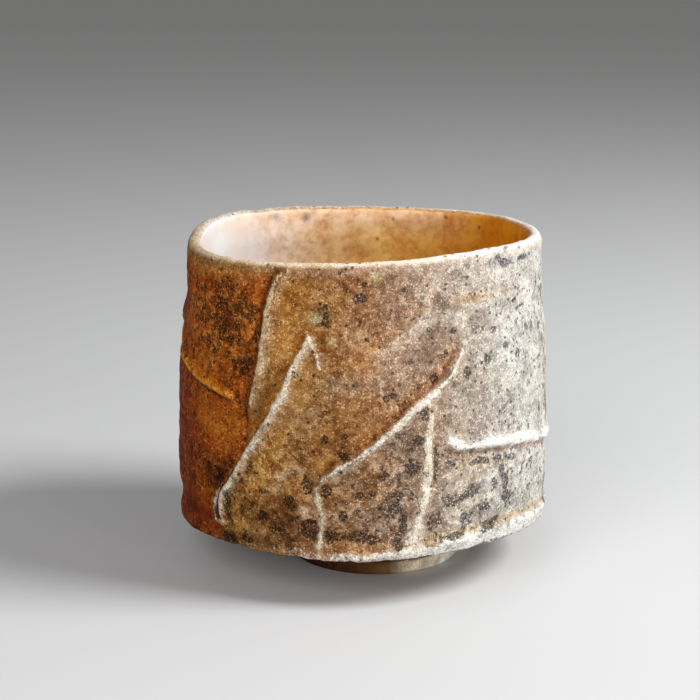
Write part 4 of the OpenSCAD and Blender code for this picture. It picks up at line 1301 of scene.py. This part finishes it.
class Finish:
    """A material and its nodes, whose patterns are sized in millimetres of the cup."""

    def __init__(self, name):
        self.material = bpy.data.materials.new(name)
        self.material.use_nodes = True
        tree = self.material.node_tree
        self.nodes, self.links = tree.nodes, tree.links
        self.shader = self.nodes["Principled BSDF"]
        self.spot = self.nodes.new("ShaderNodeTexCoord").outputs["Object"]

    def put(self, value, socket):
        if isinstance(value, bpy.types.NodeSocket):
            self.links.new(value, socket)
        elif isinstance(value, (int, float)):
            socket.default_value = value
        else:
            socket.default_value = (*value, 1)

    def noise(self, size, detail=2.0, rough=0.5, bend=0.0, seed=0.0):
        """Cloudy noise, whose clouds are about size across."""
        node = self.nodes.new("ShaderNodeTexNoise")
        node.noise_dimensions = "4D"
        node.inputs["W"].default_value = seed
        node.inputs["Scale"].default_value = 1 / (size * MM)
        node.inputs["Detail"].default_value = detail
        node.inputs["Roughness"].default_value = rough
        node.inputs["Distortion"].default_value = bend
        self.links.new(self.spot, node.inputs["Vector"])
        return node.outputs["Fac"]

    def dots(self, size):
        """Distance to points scattered about size apart, and two random values for each of them."""
        node = self.nodes.new("ShaderNodeTexVoronoi")
        node.inputs["Scale"].default_value = 1 / (size * MM)
        self.links.new(self.spot, node.inputs["Vector"])
        red, green, _ = self.split(node.outputs["Color"])
        return node.outputs["Distance"], red, green

    def attribute(self, name, output="Color"):
        node = self.nodes.new("ShaderNodeAttribute")
        node.attribute_name = name
        return node.outputs[output]

    def split(self, colour):
        """Red, green and blue of a colour."""
        node = self.nodes.new("ShaderNodeSeparateColor")
        self.links.new(colour, node.inputs[0])
        return node.outputs

    def math(self, kind, *values):
        node = self.nodes.new("ShaderNodeMath")
        node.operation = kind
        for value, entry in zip(values, node.inputs):
            self.put(value, entry)
        return node.outputs[0]

    def plus(self, a, b):
        return self.math("ADD", a, b)

    def times(self, a, b):
        return self.math("MULTIPLY", a, b)

    def times_plus(self, a, b, c):
        """a times b, plus c."""
        return self.math("MULTIPLY_ADD", a, b, c)

    def step(self, value, low, high, first=0.0, last=1.0):
        """Smooth step from first to last as the value goes from low to high."""
        node = self.nodes.new("ShaderNodeMapRange")
        node.interpolation_type = "SMOOTHSTEP"
        entries = {"Value": value, "From Min": low, "From Max": high, "To Min": first, "To Max": last}
        for key, entry in entries.items():
            self.put(entry, node.inputs[key])
        return node.outputs["Result"]

    def mix(self, amount, a, b, kind="MIX"):
        node = self.nodes.new("ShaderNodeMix")
        node.data_type = "RGBA"
        node.blend_type = kind
        self.put(amount, node.inputs[0])
        self.put(a, node.inputs[6])
        self.put(b, node.inputs[7])
        return node.outputs[2]

    def veiled(self, colour, veil):
        """A colour darkened by another over it."""
        return self.mix(1.0, colour, veil, "MULTIPLY")

    def lifted(self, colour):
        """A colour made paler by itself."""
        return self.mix(1.0, colour, colour, "SCREEN")

    def finish(self, colour, rough, height, bump, depth, shine):
        """Wires up the shader, with a bump whose full height is depth."""
        node = self.nodes.new("ShaderNodeBump")
        node.inputs["Strength"].default_value = bump
        node.inputs["Distance"].default_value = depth * MM
        self.links.new(height, node.inputs["Height"])
        self.links.new(node.outputs["Normal"], self.shader.inputs["Normal"])
        self.links.new(colour, self.shader.inputs["Base Color"])
        self.links.new(rough, self.shader.inputs["Roughness"])
        self.put(shine, self.shader.inputs["Specular IOR Level"])
        return self.material


def ash_light(f, tone, blue):
    """The paler tone of the ash grains, nearer to white where the skin is pale."""
    lifted = f.lifted(tone)
    lifted = f.mix(0.38, lifted, f.lifted(lifted))
    return f.mix(f.step(blue, 0.0, 0.11, 0.1, 0.24), lifted, PALE_ASH)


def slow_tones(f, tone, veil, curd, blot, cream_need):
    """The tone with darker patches of several sizes."""
    slow = f.noise(size=5.5, detail=2, rough=0.55, bend=0.4, seed=5)
    colour = f.mix(f.step(slow, 0.6, 0.36, 0.0, 0.6), tone, f.veiled(tone, veil))
    mottle = f.times(f.step(curd, 0.54, 0.34, 0.0, 0.8), f.step(cream_need, 0.35, 0.65, 0.7, 1.0))
    colour = f.mix(mottle, colour, f.veiled(colour, veil))
    return f.mix(f.step(blot, 0.44, 0.32, 0.0, 0.6), colour, f.veiled(colour, veil))


def ash_grains(f, colour, light, veil, curd, chance, body, cream_need):
    """Blooms and grains of pale ash, and how much of one lies at each point."""
    bloom = f.times(cream_need, f.step(curd, 0.5, 0.64, 0.0, 0.42))
    colour = f.mix(bloom, colour, light)
    need = f.times(cream_need, f.step(curd, 0.43, 0.6, 0.15, 1.0))
    pale = f.times(body, f.step(chance, f.plus(need, 0.02), f.times(need, 0.7)))
    return f.mix(f.times(pale, 0.56), colour, light), pale


def ash_crest(f, colour, veil, grain):
    """The ridges' pale crest, which breaks up into grains where its cover is thin."""
    crest = f.attribute("crest")
    hold = f.step(f.plus(grain, f.attribute("crest", "Alpha")), 1.18, 1.5)
    crest = f.mix(f.step(grain, 1.0, 0.62, 0.0, 0.85), crest, f.veiled(crest, veil))
    return f.mix(f.times(hold, 0.94), colour, crest)


def dark_clusters(f, colour, tone, light, soot, fine, blot, dark_need):
    """Dark grains crowded in ragged clusters with a few glints, and how much of one lies at each point."""
    patch = f.noise(size=4.2, detail=2, rough=0.5, bend=0.5, seed=3)
    mass = f.times_plus(fine, 0.22, f.times_plus(patch, 0.4, f.times(blot, 0.6)))
    edge = f.times_plus(dark_need, -0.3, 0.665)
    region = f.step(mass, f.plus(edge, 0.085), f.plus(edge, 0.18))
    gap, chance, _ = f.dots(0.4)
    cluster = f.times(region, f.times(f.step(gap, 0.75, 0.5), f.step(chance, 0.88, 0.76)))
    colour = f.mix(f.times(region, 0.7), colour, f.veiled(tone, SCORCH))
    colour = f.mix(f.times(cluster, 0.9), colour, soot)
    glint = f.times(region, f.times(f.step(gap, 0.5, 0.3), f.step(chance, 0.86, 0.92)))
    return f.mix(f.times(glint, 0.7), colour, light), cluster


def single_specks(f, colour, soot, speck_need):
    """Dark specks on their own, of different sizes."""
    gap, chance, other = f.dots(1.4)
    girth = f.times_plus(other, 0.18, 0.1)
    round_spot = f.step(gap, f.plus(girth, 0.06), girth)
    there = f.step(chance, f.plus(speck_need, 0.02), f.times(speck_need, 0.8))
    return f.mix(f.times(f.times(round_spot, there), 0.8), colour, soot)


def fired_skin(name, gloss=0.0):
    """Wood-fired skin: slow tones, curds of pale grains, dark grains in clusters, single specks and fine
    painted glints.
    """
    f = Finish(name)
    tone = f.attribute("tone")
    blue = f.split(tone)[2]
    dark_need, cream_need, speck_need = f.split(f.attribute("marks"))
    fine = f.noise(size=0.28, detail=2, rough=0.75, seed=1)
    curd = f.noise(size=1.6, detail=3, rough=0.55, bend=0.5, seed=2)
    blot = f.noise(size=1.7, detail=1, rough=0.5, bend=0.4, seed=6)
    gap, chance, other = f.dots(0.46)
    body = f.step(gap, 0.66, 0.42)
    grain = f.times_plus(other, 0.3, f.times_plus(fine, 0.7, f.times(curd, 0.6)))
    veil = f.mix(0.75, WHITE, tone)
    light = ash_light(f, tone, blue)
    soot = f.veiled(tone, SOOT_VEIL)

    colour = slow_tones(f, tone, veil, curd, blot, cream_need)
    colour, pale = ash_grains(f, colour, light, veil, curd, chance, body, cream_need)
    shaded = f.times(body, f.step(other, 0.42, 0.0, 0.0, 0.75))
    colour = f.mix(shaded, colour, f.veiled(colour, veil))
    colour = ash_crest(f, colour, veil, grain)
    colour, cluster = dark_clusters(f, colour, tone, light, soot, fine, blot, dark_need)
    colour = single_specks(f, colour, soot, speck_need)
    colour = f.mix(f.step(fine, 0.38, 0.58, 0.42, 0.0), colour, DARK_GAP)
    # Painted glints: fine pale specks that stand in for sparkling highlights
    colour = f.mix(f.step(fine, 0.54, 0.68, 0.0, 0.34), colour, light)

    rough = f.step(curd, 0.35, 0.65, 0.62 - gloss, 0.42 - gloss)
    height = f.times_plus(curd, 0.5, f.times(fine, 0.28))
    height = f.times_plus(cluster, -0.08, f.times_plus(pale, 0.1, height))
    shine = f.step(blue, 0.02, 0.3, 0.02, 0.2)
    return f.finish(colour, rough, height, 0.9, 0.4, shine)


def bare_clay(name):
    """Bare fired clay: slow tones, a sandy grain and a few pale grits."""
    f = Finish(name)
    tone = f.attribute("tone")
    green = f.split(tone)[1]
    grain = f.noise(size=0.5, detail=3, rough=0.6, seed=11)
    slow = f.noise(size=5, detail=2, seed=12)
    colour = f.mix(f.step(slow, 0.35, 0.65), f.veiled(tone, (0.7, 0.62, 0.55)), tone)
    colour = f.mix(f.step(grain, 0.42, 0.62, 0.35, 0.0), colour, (0.1, 0.07, 0.045))
    gap, chance, _ = f.dots(1.4)
    grit = f.times(f.step(gap, 0.24, 0.14), f.step(chance, 0.3, 0.22))
    colour = f.mix(f.times(grit, f.step(green, 0.02, 0.2, 0.0, 0.7)), colour, hue(222, 206, 176))
    rough = f.step(grain, 0.3, 0.7, 0.82, 0.66)
    shine = f.step(green, 0.02, 0.3, 0.04, 0.16)
    return f.finish(colour, rough, f.times_plus(slow, 0.3, grain), 0.7, 0.3, shine)


def satin_inside(name):
    """Thin satin glaze: slow clouds, a mottle that fades where the glaze is white, and a few brown specks."""
    f = Finish(name)
    tone = f.attribute("tone")
    blue = f.split(tone)[2]
    cloud = f.noise(size=7, detail=3, rough=0.55, bend=0.6, seed=21)
    fine = f.noise(size=2.0, detail=3, rough=0.6, bend=0.4, seed=22)
    calm = f.step(blue, 0.25, 0.6, 1.0, 0.15)
    milk = f.times(calm, f.step(blue, 0.005, 0.08, 0.2, 1.0))
    rich = f.veiled(tone, (0.9, 0.78, 0.62))
    light = f.lifted(tone)
    colour = f.mix(f.times(f.step(cloud, 0.6, 0.4), calm), tone, rich)
    colour = f.mix(f.times(f.step(cloud, 0.44, 0.62, 0.0, 0.24), milk), colour, light)
    colour = f.mix(f.times(f.step(fine, 0.46, 0.66, 0.0, 0.28), milk), colour, light)
    deeper = f.times(f.step(fine, 0.34, 0.5, 0.32, 0.0), calm)
    colour = f.mix(deeper, colour, f.veiled(colour, rich))
    gap, chance, _ = f.dots(4.2)
    speck = f.times(f.step(gap, 0.17, 0.06), f.step(chance, 0.34, 0.3))
    colour = f.mix(f.times(speck, 0.7), colour, hue(84, 60, 34))
    rough = f.step(cloud, 0.35, 0.65, 0.5, 0.36)
    height = f.times_plus(cloud, 0.5, f.times(fine, 0.3))
    return f.finish(colour, rough, height, 0.4, 0.3, 0.15)


SKIN = fired_skin("fired skin")
ASH_EDGE = fired_skin("pale ash edge", 0.04)
ASH_RIDGE = fired_skin("pale ash ridge", 0.04)
FLASHED = fired_skin("orange flashed ridge", 0.06)
CLAY = bare_clay("bare clay")
SATIN = satin_inside("satin inside")
# Ridges with the orange finish
FLASHED_RIDGES = ("ridge_left_belt", "ridge_back_belt")


def dress(piece, node, material):
    piece.data.materials.clear()
    piece.data.materials.append(material)
    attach(piece, "root")
    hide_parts(node)


dress(make_wall(), "wall", SKIN)
dress(make_floor(), "floor", CLAY)
dress(make_foot(), "foot_ring", CLAY)
dress(make_base_edge(), "base_edge", ASH_EDGE)
dress(make_liner(), "liner_glaze", SATIN)
for node_name, ridge_shape in RIDGES.items():
    flashed = node_name in FLASHED_RIDGES
    strip = make_ridge(node_name, ridge_shape)
    dress(strip, node_name, FLASHED if flashed else ASH_RIDGE)


# Stage
TABLE_SIZE = 16
TABLE_ROUGHNESS = 0.7
# The greys that light the cup from below and round it, and those that the camera sees
TABLE_LIGHT = (0.34, 0.34, 0.34, 1)
TABLE_SEEN = (0.6, 0.6, 0.61, 1)
STUDIO_LIGHT = (0.25, 0.248, 0.242, 1)
STUDIO_SEEN = (0.62, 0.62, 0.63, 1)
# Lamps: name, then place, aim and size in metres, power in watts, and tint
LAMPS = [
    ("key", (0.6, -0.16, 0.62), (0, 0, 0.05), 0.4, 9.0, (0.98, 0.99, 0.985)),
    ("fill", (-0.35, -0.85, 0.5), (0, 0, 0.04), 0.8, 5.2, (1, 1, 1)),
    ("low", (0.5, -0.66, 0.06), (0, 0, 0.02), 0.3, 4.0, (1, 1, 1)),
]
# The camera, fitted to the rim, the base edge and the foot: place, degrees down from level, lens
CAMERA_PLACE = (-0.00605, -0.4184, 0.14605)
CAMERA_DOWN = 13.07
CAMERA_LENS = 93.46


def two_greys(tree, light, seen, socket):
    """Gives a socket one grey for the light and another for the camera."""
    path = tree.nodes.new("ShaderNodeLightPath")
    mix = tree.nodes.new("ShaderNodeMix")
    mix.data_type = "RGBA"
    mix.inputs[6].default_value = light
    mix.inputs[7].default_value = seen
    tree.links.new(path.outputs["Is Camera Ray"], mix.inputs[0])
    tree.links.new(mix.outputs[2], socket)


def make_stage():
    bpy.ops.object.select_all(action="DESELECT")
    bpy.ops.mesh.primitive_plane_add(size=TABLE_SIZE, location=(0, 0, 0))
    table = bpy.context.object
    table.name = "table"
    material = bpy.data.materials.new("pale table")
    material.use_nodes = True
    shader = material.node_tree.nodes["Principled BSDF"]
    shader.inputs["Roughness"].default_value = TABLE_ROUGHNESS
    two_greys(material.node_tree, TABLE_LIGHT, TABLE_SEEN, shader.inputs["Base Color"])
    table.data.materials.append(material)


def make_lamp(name, place, aim, size, power, tint):
    bpy.ops.object.light_add(type="AREA", location=place)
    lamp = bpy.context.object
    lamp.name = lamp.data.name = name
    lamp.data.shape = "DISK"
    lamp.data.size = size
    lamp.data.energy = power
    lamp.data.color = tint
    lamp.rotation_euler = (Vector(aim) - Vector(place)).to_track_quat("-Z", "Y").to_euler()


def make_light():
    for lamp in LAMPS:
        make_lamp(*lamp)
    world = bpy.data.worlds.new("studio")
    bpy.context.scene.world = world
    world.use_nodes = True
    back = world.node_tree.nodes["Background"]
    two_greys(world.node_tree, STUDIO_LIGHT, STUDIO_SEEN, back.inputs["Color"])


def make_camera():
    bpy.ops.object.camera_add(location=CAMERA_PLACE, rotation=(math.radians(90 - CAMERA_DOWN), 0, 0))
    camera = bpy.context.object
    camera.data.lens = CAMERA_LENS
    camera.data.sensor_width = 36
    camera.data.clip_start = 0.01
    bpy.context.scene.camera = camera


make_camera()
make_stage()
make_light()
bpy.context.scene.view_settings.view_transform = "Standard"
